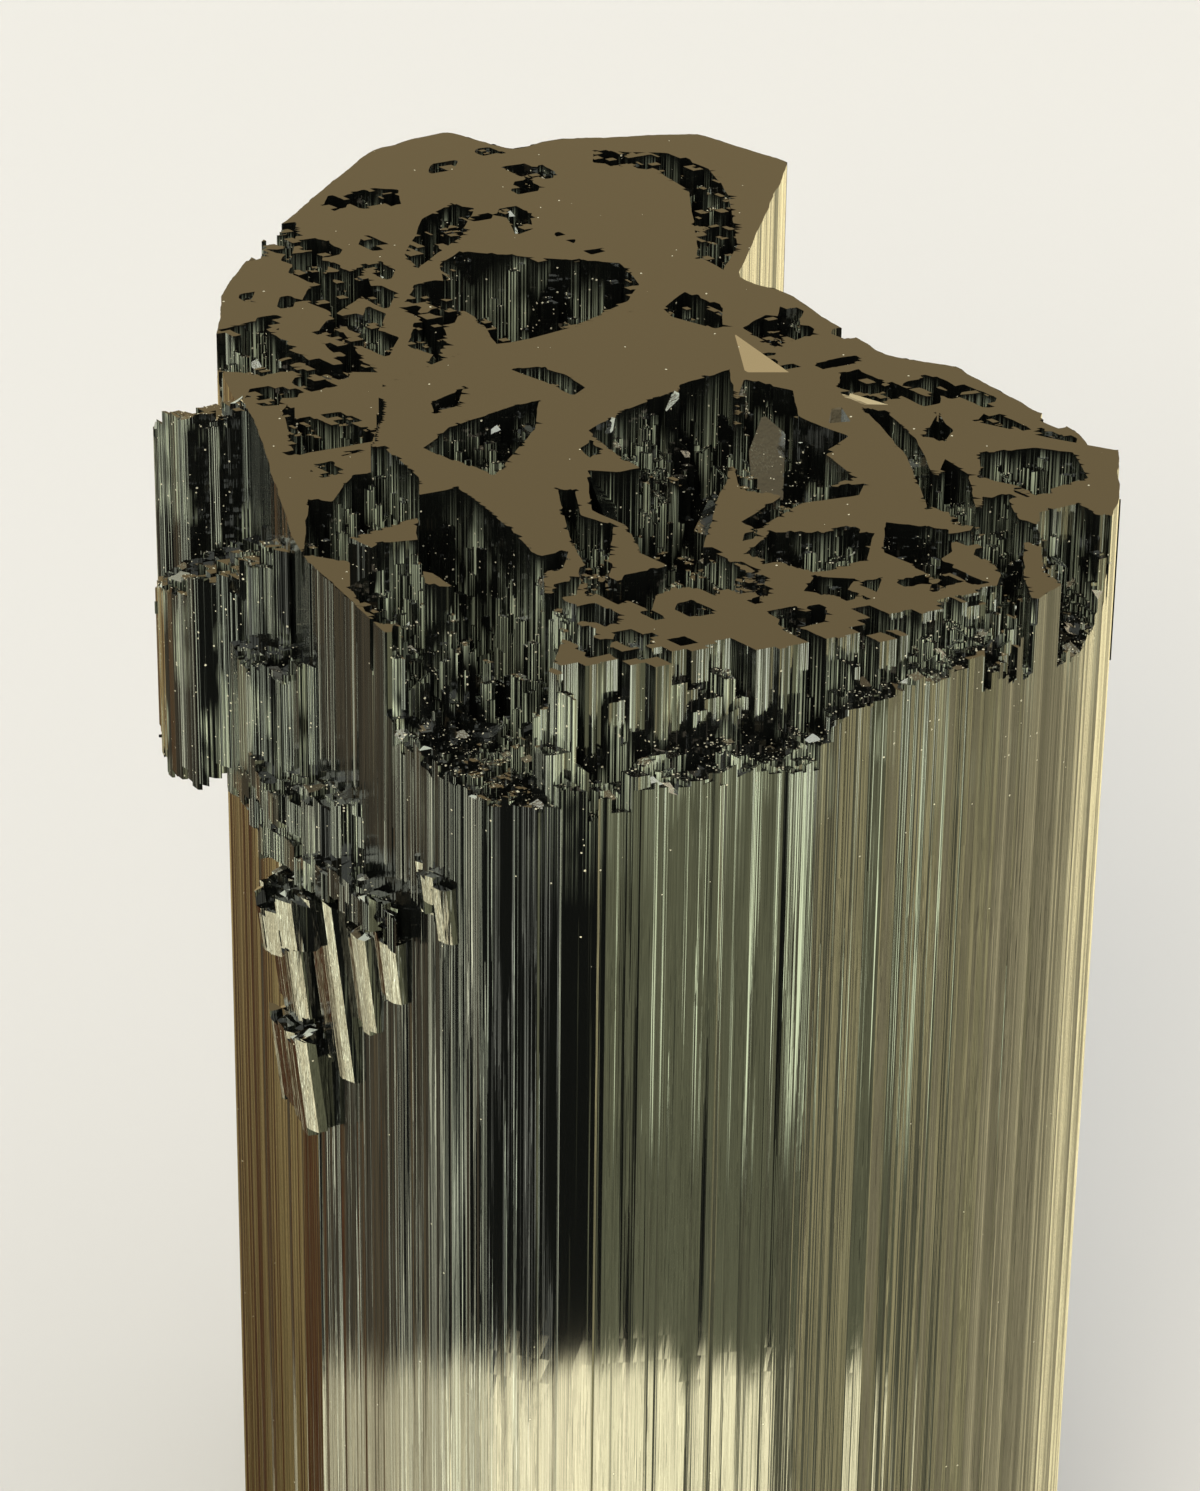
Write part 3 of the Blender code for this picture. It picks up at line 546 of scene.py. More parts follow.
def rim_points(keep):
    """True at the lattice points on the border of the kept cells."""
    around = np.zeros((keep.shape[0] + 1, keep.shape[1] + 1), int)
    for di in (0, 1):
        for dj in (0, 1):
            around[di:di + keep.shape[0], dj:dj + keep.shape[1]] += keep
    return (around > 0) & (around < 4)


def settle(level, keep):
    """Evens out 2 by 2 cells of which only the diagonal ones stand high, so that no two columns meet in a
    line alone."""
    for _ in range(3):
        a, b, c, d = level[:-1, :-1], level[1:, :-1], level[1:, 1:], level[:-1, 1:]
        all_kept = keep[:-1, :-1] & keep[1:, :-1] & keep[1:, 1:] & keep[:-1, 1:]
        saddle = all_kept & (np.maximum(a, c) < np.minimum(b, d))
        b[saddle] = np.maximum(a, c)[saddle]
        saddle = all_kept & (np.minimum(a, c) > np.maximum(b, d))
        b[saddle] = np.minimum(a, c)[saddle]


CORNERS = ((0, 0), (1, 0), (1, 1), (0, 1))  # a cell's corners, anticlockwise


def corner_heights(lattice, points):
    """Height of each cell at its four corners: its level, tilted about the middle of its block."""
    rows, columns = lattice.level.shape
    heights = np.empty((rows, columns, 4))
    for number, (di, dj) in enumerate(CORNERS):
        at = points[di:di + rows, dj:dj + columns]
        off = np.stack([at[..., 0] - lattice.block_x, at[..., 1] - lattice.block_y], -1)
        heights[..., number] = -lattice.level + (off * lattice.lean).sum(-1)
    return heights


def shared(heights, axis):
    """Heights of the two cells beside each inner edge across this axis, at the edge's two ends:
    (lower-numbered cell at both ends, higher-numbered cell at both ends)."""
    if axis == 0:
        return heights[:-1, :, [1, 2]], heights[1:, :, [0, 3]]
    return heights[:, :-1, [3, 2]], heights[:, 1:, [0, 1]]


def crossings(points, keep, top):
    """Where the tops of two neighbouring cells cross along their common edge: for each axis the cells'
    places, and the crossing point's plan place and height."""
    found = []
    for axis in (0, 1):
        one, two = shared(top, axis)
        gap = one - two
        both = keep[:-1] & keep[1:] if axis == 0 else keep[:, :-1] & keep[:, 1:]
        at = np.argwhere(both & (gap[..., 0] * gap[..., 1] < -1e-10))
        i, j = at.T
        share = gap[i, j, 0] / (gap[i, j, 0] - gap[i, j, 1])
        start = points[i + 1, j] if axis == 0 else points[i, j + 1]
        end = points[i + 1, j + 1]
        plan = start + share[:, None] * (end - start)
        height = one[i, j, 0] + share * (one[i, j, 1] - one[i, j, 0])
        found.append((at, plan, height))
    return found


def walls(line, keep, top, foot, with_foot, crossed, cross_lines):
    """Wall strips: the line that each starts and ends at, its low and high heights there, and whether its
    winding is turned round."""
    strips = []
    for axis in (0, 1):
        one_top, two_top = shared(top, axis)
        one_foot, two_foot = shared(foot, axis)
        kept_one, kept_two = (keep[:-1], keep[1:]) if axis == 0 else (keep[:, :-1], keep[:, 1:])
        start = line[1:-1, :-1] if axis == 0 else line[:-1, 1:-1]
        end = line[1:-1, 1:] if axis == 0 else line[1:, 1:-1]
        both, only_one, only_two = kept_one & kept_two, kept_one & ~kept_two, kept_two & ~kept_one
        at, _, height = crossed[axis]
        plain = both.copy()
        plain[at[:, 0], at[:, 1]] = False
        i, j = at.T
        middle = cross_lines[axis]
        for side in (0, 1):
            above = one_top[i, j, side] > two_top[i, j, side]
            for one_is_solid in (True, False):
                pick = above == one_is_solid
                high = (one_top if one_is_solid else two_top)[i, j, side][pick]
                low = (two_top if one_is_solid else one_top)[i, j, side][pick]
                ends = (start[i, j][pick], middle[pick]) if side == 0 else (middle[pick], end[i, j][pick])
                order = [0, 1] if side == 0 else [1, 0]
                strips.append((*ends, np.stack([low, height[pick]], 1)[:, order],
                               np.stack([high, height[pick]], 1)[:, order], one_is_solid == (axis == 1)))
        for mask, low, high, one_is_solid in (
            (plain & ((one_top > two_top).any(-1)), two_top, one_top, True),
            (plain & ((two_top > one_top).any(-1)), one_top, two_top, False),
            (both & ((one_foot < two_foot).any(-1)) & with_foot, one_foot, two_foot, True),
            (both & ((two_foot < one_foot).any(-1)) & with_foot, two_foot, one_foot, False),
            (only_one, one_foot, one_top, True),
            (only_two, two_foot, two_top, False),
        ):
            strips.append((start[mask], end[mask], low[mask], high[mask], one_is_solid == (axis == 1)))
    return strips


HEIGHT_NUMBERS = 2 ** 28  # more than there are numbers of heights


def height_number(heights):
    """A whole number for each height, the same for heights less than a hundredth of a micron apart."""
    return np.round((heights + 100) * 1e5).astype(np.int64)


def split_tops(cells, centre, top, corner_lines, middle_line, middle_height):
    """Triangles of the tops with a crossing on an edge: a fan round the cell's centre, through its corners
    and the points on its edges. An edge without a crossing has its first corner there once more."""
    i, j = cells
    centre_height = top[i, j].mean(-1)
    lines, heights = [], []
    for k in range(4):
        after = (k + 1) % 4
        lines += [np.stack([centre, corner_lines[i, j, k], middle_line[i, j, k]], 1),
                  np.stack([centre, middle_line[i, j, k], corner_lines[i, j, after]], 1)]
        heights += [np.stack([centre_height, top[i, j, k], middle_height[i, j, k]], 1),
                    np.stack([centre_height, middle_height[i, j, k], top[i, j, after]], 1)]
    return lines, heights


def wall_triangles(strips, at_line):
    """Triangles of the wall strips. Both ends of a strip are cut at each height at that line which lies
    between the strip's own low and high, so that all walls on the line share their vertices."""
    lines, heights = [], []
    for start, end, low, high, flipped in strips:
        turned = slice(None, None, -1 if flipped else 1)
        ends = []
        for number, at in enumerate((start, end)):
            lowest, highest = low[:, [number]], high[:, [number]]
            chain = np.clip(at_line[at], lowest, highest)
            ends.append(np.sort(np.concatenate([lowest, chain, highest], 1), 1))
        left, right = ends
        for k in range(left.shape[1] - 1):
            for three, values in (
                ((start, end, end), (left[:, k], right[:, k], right[:, k + 1])),
                ((start, end, start), (left[:, k], right[:, k + 1], left[:, k + 1])),
            ):
                lines.append(np.stack(three, 1)[:, turned])
                heights.append(np.stack(values, 1)[:, turned])
    return lines, heights


def welded(faces, plan):
    """Vertices and arrays of faces from corners that are each given by a line's number and a height.
    Corners on one line at one height become one vertex."""
    keys = [lines.ravel().astype(np.int64) * HEIGHT_NUMBERS + height_number(heights.ravel())
            for lines, heights in faces]
    _, first, index = np.unique(np.concatenate(keys), return_index=True, return_inverse=True)
    all_lines = np.concatenate([lines.ravel() for lines, _ in faces])[first]
    all_heights = np.concatenate([heights.ravel() for _, heights in faces])[first]
    made, at = [], 0
    for lines, _ in faces:
        made.append(index[at:at + lines.size].reshape(lines.shape))
        at += lines.size
    return np.column_stack([plan[all_lines], all_heights]), made


def columns_mesh(points, keep, top, foot, with_foot):
    """The surface of the kept columns: vertices and arrays of faces.

    Every cell has a top, and a foot if asked. Between two cells, or a cell and the air, stands a wall
    whose two ends are cut at every height that any of the four cells around that line has, so that the
    walls share all their vertices. Where two tops cross along an edge, both get a point there.
    """
    rows, columns = keep.shape
    line = np.arange((rows + 1) * (columns + 1)).reshape(rows + 1, columns + 1)
    top = np.where(keep[..., None], top, OUTSIDE)
    foot = np.where(keep[..., None], foot, OUTSIDE)
    at_line = np.full((rows + 1, columns + 1, 8), OUTSIDE)
    for number, (di, dj) in enumerate(CORNERS):
        at_line[di:di + rows, dj:dj + columns, number] = top[..., number]
        at_line[di:di + rows, dj:dj + columns, number + 4] = foot[..., number]
    crossed = crossings(points, keep, top)
    plan, cross_lines, used = [points.reshape(-1, 2)], [], line.size
    corner_lines = np.stack([line[di:di + rows, dj:dj + columns] for di, dj in CORNERS], -1)
    middle_line, middle_height = corner_lines.copy(), top.copy()
    split = np.zeros(keep.shape, bool)
    for axis, (at, where, height) in enumerate(crossed):
        numbers = used + np.arange(len(at))
        used += len(at)
        cross_lines.append(numbers)
        plan.append(where)
        i, j = at.T
        for a, b, edge in ((i, j, 1), (i + 1, j, 3)) if axis == 0 else ((i, j, 2), (i, j + 1, 0)):
            middle_line[a, b, edge], middle_height[a, b, edge] = numbers, height
            split[a, b] = True
    whole_cells = keep & ~split
    faces = [(corner_lines[whole_cells], top[whole_cells])]
    if with_foot:
        faces.append((corner_lines[keep][:, ::-1], foot[keep][:, ::-1]))
    i, j = cells = np.argwhere(split).T
    centre = used + np.arange(len(i))
    plan.append(np.mean([points[i + di, j + dj] for di, dj in CORNERS], 0))
    at_line = np.concatenate([at_line.reshape(-1, 8), np.full((used - line.size, 8), OUTSIDE)])
    strips = walls(line, keep, top, foot, with_foot, crossed, cross_lines)
    top_lines, top_heights = split_tops(cells, centre, top, corner_lines, middle_line, middle_height)
    wall_lines, wall_heights = wall_triangles(strips, at_line)
    lines, heights = np.concatenate(top_lines + wall_lines), np.concatenate(top_heights + wall_heights)
    steps = height_number(heights)
    whole = np.ones(len(lines), bool)
    for a, b in ((0, 1), (1, 2), (2, 0)):
        whole &= (lines[:, a] != lines[:, b]) | (steps[:, a] != steps[:, b])
    return welded(faces + [(lines[whole], heights[whole])], np.concatenate(plan))


def mesh_piece(name, vertices, faces, material, foot=None, broken=None):
    """A piece from an array of vertices in metres and arrays of faces, each with a fixed number of sides.
    The attribute "broken" tells the finish how broken the surface is at each vertex, and an open foot is
    closed towards the point given for it."""
    mesh = bpy.data.meshes.new(name)
    mesh.vertices.add(len(vertices))
    mesh.vertices.foreach_set("co", np.ascontiguousarray(vertices, np.float32).ravel())
    sides = np.concatenate([np.full(len(part), part.shape[1]) for part in faces])
    mesh.loops.add(int(sides.sum()))
    mesh.loops.foreach_set("vertex_index", np.concatenate([part.ravel() for part in faces]).astype(np.int32))
    mesh.polygons.add(len(sides))
    mesh.polygons.foreach_set("loop_start", np.concatenate([[0], np.cumsum(sides)[:-1]]).astype(np.int32))
    mesh.polygons.foreach_set("use_smooth", np.zeros(len(sides), bool))
    mesh.update(calc_edges=True)
    if broken is not None:
        mesh.attributes.new("broken", "FLOAT", "POINT").data.foreach_set("value", broken.astype(np.float32))
    if foot is not None:
        close_below(mesh, foot)
    mesh.materials.append(material)
    piece = bpy.data.objects.new(name, mesh)
    bpy.context.scene.collection.objects.link(piece)
    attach(piece, BODY)
    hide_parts(NODE)


def close_below(mesh, foot):
    """Closes the open foot of a piece with a triangle from each of its open edges to one point."""
    shape = bmesh.new()
    shape.from_mesh(mesh)
    open_loops = [edge.link_loops[0] for edge in shape.edges if edge.is_boundary]
    middle = shape.verts.new(foot)
    for loop in open_loops:
        shape.faces.new((loop.link_loop_next.vert, loop.vert, middle))
    shape.to_mesh(mesh)
    shape.free()


# ---------------------------------------------------------------- levels of the termination

def angular_pits(rng):
    """Small pits scattered over the broken ground: hexagons with their sides along the six prism
    directions. Opposite sides differ by one length, added to every other side, so that the ring closes.
    Four times as many middles as wanted are drawn, and the first ones that lie in the region are kept."""
    found = []
    for count, most, deepest, region in BROKEN_GROUND.values():
        middles = rng.uniform(np.min(region, 0), np.max(region, 0), (count * 4, 2))
        middles = middles[inside(*middles.T, region)][:count]
        for middle in middles:
            one, two, three = most * rng.uniform(*SIDE_SHARES, 3) ** SIDE_POWER
            extra = rng.uniform(-SIDE_EXTRA * two, SIDE_EXTRA * min(one, three))
            sides = (one, two, three, one - extra, two + extra, three - extra)
            steps = np.array([edge_direction(60 * k) * side for k, side in enumerate(sides)])
            points = np.cumsum(steps, 0)
            corners = [tuple(p) for p in points - points.mean(0) + middle]
            found.append((rng.uniform(LEAST_DEPTH, deepest), corners))
    return found


def cut_pit(lattice, floor, corners, random, sheer_share):
    """Sinks the cells inside one pit to its floor. Most columns go straight down and the others stand as
    ledges that get lower away from the wall. The cells are noted, so that the pit's outline can be drawn
    straight. A pit that is nowhere near the lattice isn't noted and takes no seed."""
    low, high = np.min(corners, 0) - PIT_MARGIN, np.max(corners, 0) + PIT_MARGIN
    near = (lattice.x > low[0]) & (lattice.x < high[0]) & (lattice.y > low[1]) & (lattice.y < high[1])
    if not near.any():
        return
    sunk = near & inside(lattice.x, lattice.y, corners)
    column_x, column_y, sheer, rough, grain = (field[sunk] for field in random)
    from_wall = depth_in(column_x, column_y, corners)
    ledge = np.clip(LEDGE + rough * LEDGE_ROUGH + from_wall * LEDGE_FALL, LEAST_LEDGE, 1.0)
    share = np.where(sheer < sheer_share, 1.0, ledge)
    level = floor * share + (rough - 0.5) * FLOOR_ROUGH * floor + (grain - 0.5) * FLOOR_GRAIN
    lattice.level[sunk] = np.maximum(lattice.level[sunk], level)
    outline = Outline(corners, FIRST_PIT_SEED + len(lattice.drawn), **PIT_RIBS)
    lattice.drawn.append((sunk, outline))


def cut_pits(lattice, start):
    """The small pits on broken ground, whose floors are set from the ground there, then the named ones."""
    _, column_x, column_y, sheer = lattice.blocks(PIT_BLOCK)
    rough, grain = lattice.blocks(ROUGH_BLOCK)[3], lattice.blocks(GRAIN_BLOCK)[3]
    random = (column_x, column_y, sheer, rough, grain)
    for depth, corners in angular_pits(lattice.rng):
        middle = np.mean(corners, 0)
        ground = start.ravel()[np.argmin(np.hypot(lattice.x - middle[0], lattice.y - middle[1]))]
        cut_pit(lattice, ground + depth, corners, random, SCATTERED_SHEER)
    for floor, corners in PITS.values():
        cut_pit(lattice, floor, corners, random, PIT_SHEER)


def lay_facets(lattice):
    """Gives the cells of each sloping facet one common plane."""
    for number, (level, fall, corners) in enumerate(FACETS.values()):
        covered = inside(lattice.x, lattice.y, corners)
        if not covered.any():
            continue
        lattice.level[covered] = level
        lattice.lean[covered] = (-fall[0], -fall[1])
        lattice.block_x[covered], lattice.block_y[covered] = corners[0]
        lattice.drawn.append((covered, Outline(corners, FIRST_FACET_SEED + number, **FACET_RIBS)))


def chip_rim(lattice):
    """Breaks the front rim down in sheer columns. Blocks within a reach of the rim, which changes from one
    stretch to the next, go down by the depth there, and some of those behind them go part of the way."""
    number, middle_x, middle_y, pick = lattice.blocks(CHIP_BLOCK)
    stretch = lattice.blocks(STRETCH_BLOCK)[3]
    far, _ = to_line(middle_x, middle_y, RIM_RUN)
    most = np.interp(middle_x, *zip(*RIM_DEPTHS)) * (middle_x > RIM_ENDS[0]) * (middle_x < RIM_ENDS[1])
    reach = RIM_WIDTH * (CHIP_REACH[0] + CHIP_REACH[1] * stretch + CHIP_REACH[2] * pick)
    sheer = most * (CHIP_SHEER[0] + CHIP_SHEER[1] * lattice.random_of(number))
    part = most * (CHIP_PART[0] + CHIP_PART[1] * lattice.random_of(number))
    behind = (far < reach + BEHIND_WIDTH) & (lattice.random_of(number) < BEHIND_CHANCE)
    chip = np.where(far < reach, sheer, np.where(behind, part, 0.0))
    lattice.chipped |= chip > lattice.level
    lattice.level = np.maximum(lattice.level, chip)


def tilt_tops(lattice, where, size, chance, most):
    """Tilts the tops of some blocks of about this size, as broken columns end in facets at all angles: the
    block's mean level plus the slope times the place from its middle. The slopes reach the most given."""
    number, middle_x, middle_y, pick = lattice.blocks(size)
    turn = lattice.random_of(number) * math.tau
    steep = most * np.sqrt(lattice.random_of(number))
    chosen = where & (pick < chance)
    lean = np.stack([np.cos(turn) * steep, np.sin(turn) * steep], -1)
    lattice.lean = np.where(chosen[..., None], lean, lattice.lean)
    lattice.block_x = np.where(chosen, middle_x, lattice.block_x)
    lattice.block_y = np.where(chosen, middle_y, lattice.block_y)
    blocks = number.max() + 1
    level_sum = np.bincount(number[chosen], lattice.level[chosen], blocks)
    filled = np.maximum(np.bincount(number[chosen], minlength=blocks), 1)
    lattice.level = np.where(chosen, (level_sum / filled)[number], lattice.level)


def snap_drawn(lattice, points):
    """Moves the lattice points on the border of each pit and facet onto its outline, and puts back those
    that would turn a cell over."""
    home = points.copy()
    reach = SNAP_REACH * np.median(np.diff(lattice.s))
    for covered, outline in lattice.drawn:
        border = rim_points(covered)
        at = np.argwhere(border)
        x, y = points[border].T
        far, along = outline.nearest(x, y)
        near = far < reach
        points[at[near, 0], at[near, 1]] = outline.place(along[near])
    for _ in range(SNAP_ROUNDS):
        one = points[1:, 1:] - points[:-1, :-1]
        two = points[:-1, 1:] - points[1:, :-1]
        turned = one[..., 0] * two[..., 1] - one[..., 1] * two[..., 0] < LEAST_CELL * reach ** 2
        back = np.zeros(points.shape[:2], bool)
        for di, dj in CORNERS:
            back[di:di + turned.shape[0], dj:dj + turned.shape[1]] |= turned
        points[back] = home[back]


def snap_rim(lattice, keep, outline, seam=None):
    """Moves the border points onto the ribbed outline, or onto the seam where that is nearer. Returns the
    moved points and the distances along the outline of those that went there."""
    points = lattice.points.copy()
    snap_drawn(lattice, points)
    rim = rim_points(keep)
    x, y = points[rim].T
    far, along = outline.nearest(x, y)
    placed = outline.place(along)
    on_outline = np.ones(len(x), bool)
    if seam is not None:
        seam_far, seam_along = to_line(x, y, seam)
        marks = np.concatenate([[0], np.cumsum(np.hypot(*np.diff(np.array(seam), axis=0).T))])
        on_seam = np.stack([np.interp(seam_along, marks, np.array(seam)[:, i]) for i in (0, 1)], -1)
        on_outline = far <= seam_far
        placed = np.where(on_outline[:, None], placed, on_seam)
    points[rim] = placed
    return points, along[on_outline]


def termination(name, corners, foot, pitch, seed, in_rear, outline, material):
    """One sheet of the termination's columns, from its top down to the skirt, and where its border meets
    the prism's outline."""
    rng = np.random.default_rng(seed)
    lattice = Lattice(corners, pitch, rng)
    rear = inside(lattice.x, lattice.y, PLATFORM_BACK + BEHIND)
    keep = without_slivers(inside(lattice.x, lattice.y, outline.corners) & (rear == in_rear))
    lattice.level[:] = REAR_LEVEL if in_rear else 0.0
    if not in_rear:
        lattice.level[inside(lattice.x, lattice.y, LEFT_TERRACE)] = LEFT_LEVEL
    start = lattice.level.copy()
    cut_pits(lattice, start)
    if not in_rear:
        chip_rim(lattice)
    lattice.level = np.minimum(lattice.level, DEEPEST)
    tilt_tops(lattice, lattice.level > start + SMALL_TILT_DEPTH, **SMALL_TILTS)
    tilt_tops(lattice, (lattice.level > start + LARGE_TILT_DEPTH) & ~lattice.chipped, **LARGE_TILTS)
    settle(lattice.level, keep)
    lay_facets(lattice)
    points, along = snap_rim(lattice, keep, outline, PLATFORM_BACK)
    top = np.clip(corner_heights(lattice, points), -LOWEST_TIP, -start[..., None])
    vertices, faces = columns_mesh(points, keep, top, np.full(top.shape, -SKIRT), with_foot=False)
    x, y, height = vertices.T
    ground = REAR_LEVEL if in_rear else LEFT_LEVEL * inside(x, y, LEFT_TERRACE)
    far, _ = outline.nearest(x, y)
    broken = np.clip((-height - ground) / BROKEN_DEPTH, 0, 1)
    broken *= np.where(far < NEAR_OUTLINE, OUTLINE_BROKEN, 1.0)
    broken *= height > FOOT_TOP - SKIRT
    for _, _, facet in FACETS.values():
        broken *= np.where(inside(x, y, facet), FACET_BROKEN, 1.0)
    mesh_piece(name, world(vertices), faces, material, foot=world(np.array([*foot, -SKIRT])), broken=broken)
    return along, (lattice, keep, start)


# ---------------------------------------------------------------- the prism below the skirt

def prism_wall(outline, along, row_count, material):
    """The striated wall, closed at both ends by a fan. A point at a distance along the outline and a height
    lies on the ribbed outline, moved in by striae that swing down the prism as sines with phases of their
    own."""
    along = np.unique(np.round(along, 5))
    rng = np.random.default_rng(DRIFT_SEED)
    heights = np.linspace(-SKIRT, -HEIGHT, row_count + 1)
    depth = (heights[0] - heights) / (heights[0] - heights[-1])
    fade = np.clip(depth[:, None] * DRIFT_FADE, 0, 1)
    drift = np.zeros((len(heights), len(along)))
    for width, deep, waves in DRIFTS:
        knots, values = outline.wave(rng, width, 1.0)
        _, phases = outline.wave(rng, width, 1.0)
        start = math.tau * 2 * np.interp(along, knots, np.resize(phases, len(knots)))
        swing = np.sin(math.tau * waves * depth[:, None] + start) - np.sin(start)
        drift += deep * DRIFT_SWING * np.interp(along, knots, values) * (swing + DRIFT_LEAN) * fade
    plan = np.stack([outline.place(along, row) for row in np.minimum(drift, 0)])
    points = np.concatenate([plan, np.broadcast_to(heights[:, None, None], plan.shape[:2] + (1,))], -1)
    count = len(along)
    number = np.arange(points.shape[0] * count).reshape(-1, count)
    after = np.roll(number, -1, axis=1)
    quads = np.stack([number[1:], after[1:], after[:-1], number[:-1]], -1).reshape(-1, 4)
    ends = np.array([(*PLAN_CENTRE, heights[0]), (*PLAN_CENTRE, heights[-1])])
    top = np.stack([number[0], after[0], np.full(count, number.size)], -1)
    bottom = np.stack([after[-1], number[-1], np.full(count, number.size + 1)], -1)
    vertices = world(np.concatenate([points.reshape(-1, 3), ends]))
    mesh_piece("striated_prism", vertices, [quads, top, bottom], material)


# ---------------------------------------------------------------- growths on the left flank

def column_group(corners, pitch, seed, top, fall, foot, rise, rib_depth, ledges):
    """A group of narrow columns inside an outline, whose tops and feet end at uneven levels.

    The top of a block falls by the given amounts per millimetre to the left and to the back, and its foot
    rises to the left. Both vary at random from block to block."""
    rng = np.random.default_rng(seed)
    outline = Outline(corners, seed, GROWTH_RIB_WIDTH, rib_depth, GROWTH_STRIA, GROWTH_SETBACK)
    lattice = Lattice(corners, pitch, rng, GROWTH_JITTER)
    keep = without_slivers(inside(lattice.x, lattice.y, outline.corners))
    right, front = max(x for x, _ in corners), min(y for _, y in corners)
    wide, _, wide_y, wide_pick = lattice.blocks(GROWTH_BLOCK)
    slim, slim_x, _, slim_pick = lattice.blocks(GROWTH_SPLINTER)
    ledges = ledges * GROWTH_LEDGES
    level = top + fall[0] * (right - slim_x) + fall[1] * (wide_y - front)
    level = level + ledges * (wide_pick ** 2 + slim_pick ** 1.5)
    sole = foot - rise * (right - slim_x)
    sole = sole - ledges * (lattice.random_of(wide) + lattice.random_of(slim) ** 2)
    lattice.level = np.minimum(level, sole - LEAST_COLUMN)
    tilt_tops(lattice, np.ones(keep.shape, bool), **GROWTH_TILTS)
    settle(lattice.level, keep)
    points, _ = snap_rim(lattice, keep, outline)
    upper = np.minimum(corner_heights(lattice, points), -top)
    settle(sole, keep)
    lower = np.repeat(-sole[..., None], 4, axis=-1)
    lower = np.minimum(lower, upper.min(-1, keepdims=True) - LEAST_TILTED_COLUMN)
    return columns_mesh(points, keep, upper, lower, with_foot=True)


def joined(parts):
    """Several surfaces as one: vertices one after another, and faces grouped by their number of sides."""
    vertices, by_sides, at = [], {}, 0
    for part_vertices, part_faces in parts:
        for face in part_faces:
            by_sides.setdefault(face.shape[1], []).append(face + at)
        vertices.append(part_vertices)
        at += len(part_vertices)
    return np.concatenate(vertices), [np.concatenate(group) for group in by_sides.values()]


def blade_outline(middle, width, thickness, turned):
    """A section with four bevelled corners, turned by this many degrees."""
    half, deep = width / 2, thickness / 2
    quarter = np.array([(half, deep - BLADE_BEVEL[1]), (half - BLADE_BEVEL[0], deep)])
    section = np.concatenate([quarter, quarter[::-1] * (-1, 1), -quarter, quarter[::-1] * (1, -1)])
    angle = math.radians(turned)
    turn = np.array([[math.cos(angle), math.sin(angle)], [-math.sin(angle), math.cos(angle)]])
    return [tuple(point) for point in section @ turn + np.array(middle)]


def leaned(vertices, middle, top):
    """Vertices turned about the blade's top, so that its foot goes to the right."""
    pivot = np.array([middle[0], middle[1], -top])
    angle = math.radians(BLADE_LEAN)
    cosine, sine = math.cos(angle), math.sin(angle)
    return (vertices - pivot) @ np.array([[cosine, 0, sine], [0, 1, 0], [-sine, 0, cosine]]) + pivot


# ---------------------------------------------------------------- loose grains

def grains_on(fields, count, rng):
    """Octahedral grains with uneven half-axes, joined, resting on the tops of random cells. A grain's six
    points are its middle plus or minus each half-axis."""
    spots = []
    for lattice, keep, start in fields:
        cells = np.argwhere(keep)
        weight = (lattice.level > start + GRAIN_DEPTH)[keep].astype(float)
        picked = rng.choice(len(cells), count // len(fields), p=weight / weight.sum(), replace=False)
        i, j = cells[picked].T
        spots.append(np.column_stack([lattice.x[i, j], lattice.y[i, j], -lattice.level[i, j]]))
    spots = np.concatenate(spots)
    size = LEAST_GRAIN + (MOST_GRAIN - LEAST_GRAIN) * rng.random(len(spots)) ** GRAIN_POWER
    turn = rng.random(len(spots)) * math.tau
    cosine, sine, zero = np.cos(turn) * size, np.sin(turn) * size, np.zeros(len(spots))
    long, wide, high = (np.stack(axis, -1) * share for axis, share in zip(
        ((cosine, sine, zero), (-sine, cosine, zero), (zero, zero, size)), GRAIN_SHAPE))
    axes = np.stack([long, wide, high], 1)
    middle = (spots + high)[:, None]
    points = np.concatenate([middle + axes, middle - axes], 1)
    faces = np.array([(0, 1, 2), (1, 3, 2), (3, 4, 2), (4, 0, 2), (1, 0, 5), (3, 1, 5), (4, 3, 5), (0, 4, 5)])
    numbers = faces + np.arange(len(spots))[:, None, None] * 6
    return points.reshape(-1, 3), [numbers.reshape(-1, 3)]


# ---------------------------------------------------------------- finishes

def node(tree, kind, inputs=None, **settings):
    """A shader node of this kind. Each of its inputs gets the socket or the value given for it."""
    made = tree.nodes.new("ShaderNode" + kind)
    for key, value in settings.items():
        setattr(made, key, value)
    for key, value in (inputs or {}).items():
        if isinstance(value, bpy.types.NodeSocket):
            tree.links.new(value, made.inputs[key])
        else:
            made.inputs[key].default_value = value
    return made


def set_stops(made, stops):
    """Sets a colour ramp's stops, (place, colour) from left to right, and gives back its colour."""
    elements = made.color_ramp.elements
    while len(elements) > 1:
        elements.remove(elements[-1])
    elements[0].position, elements[0].color = stops[0]
    for place, colour in stops[1:]:
        elements.new(place).color = colour
    return made.outputs["Color"]


def new_material(name):
    """An empty node material."""
    material = bpy.data.materials.new(name)
    material.use_nodes = True
    material.node_tree.nodes.clear()
    return material


# Patterns, in millimetres: width across and length along the prism, and depth.
DULL_LINES = (0.045, 40.0)
DULL_STRETCHES = (1 / 0.9, 1 / 0.35)  # of the walls that have dull lines
FINE_STRIAE = (0.1, 1000 / 12)  # too fine for the mesh, and drawn this wide so that they show
FINE_STRIA_DEPTH = 0.024
DUST_SPACING = 0.075  # of the cells that may hold a speck of dust
SPECK = (0.32, 0.08)  # its half-width as a share of the spacing: at random, and at least
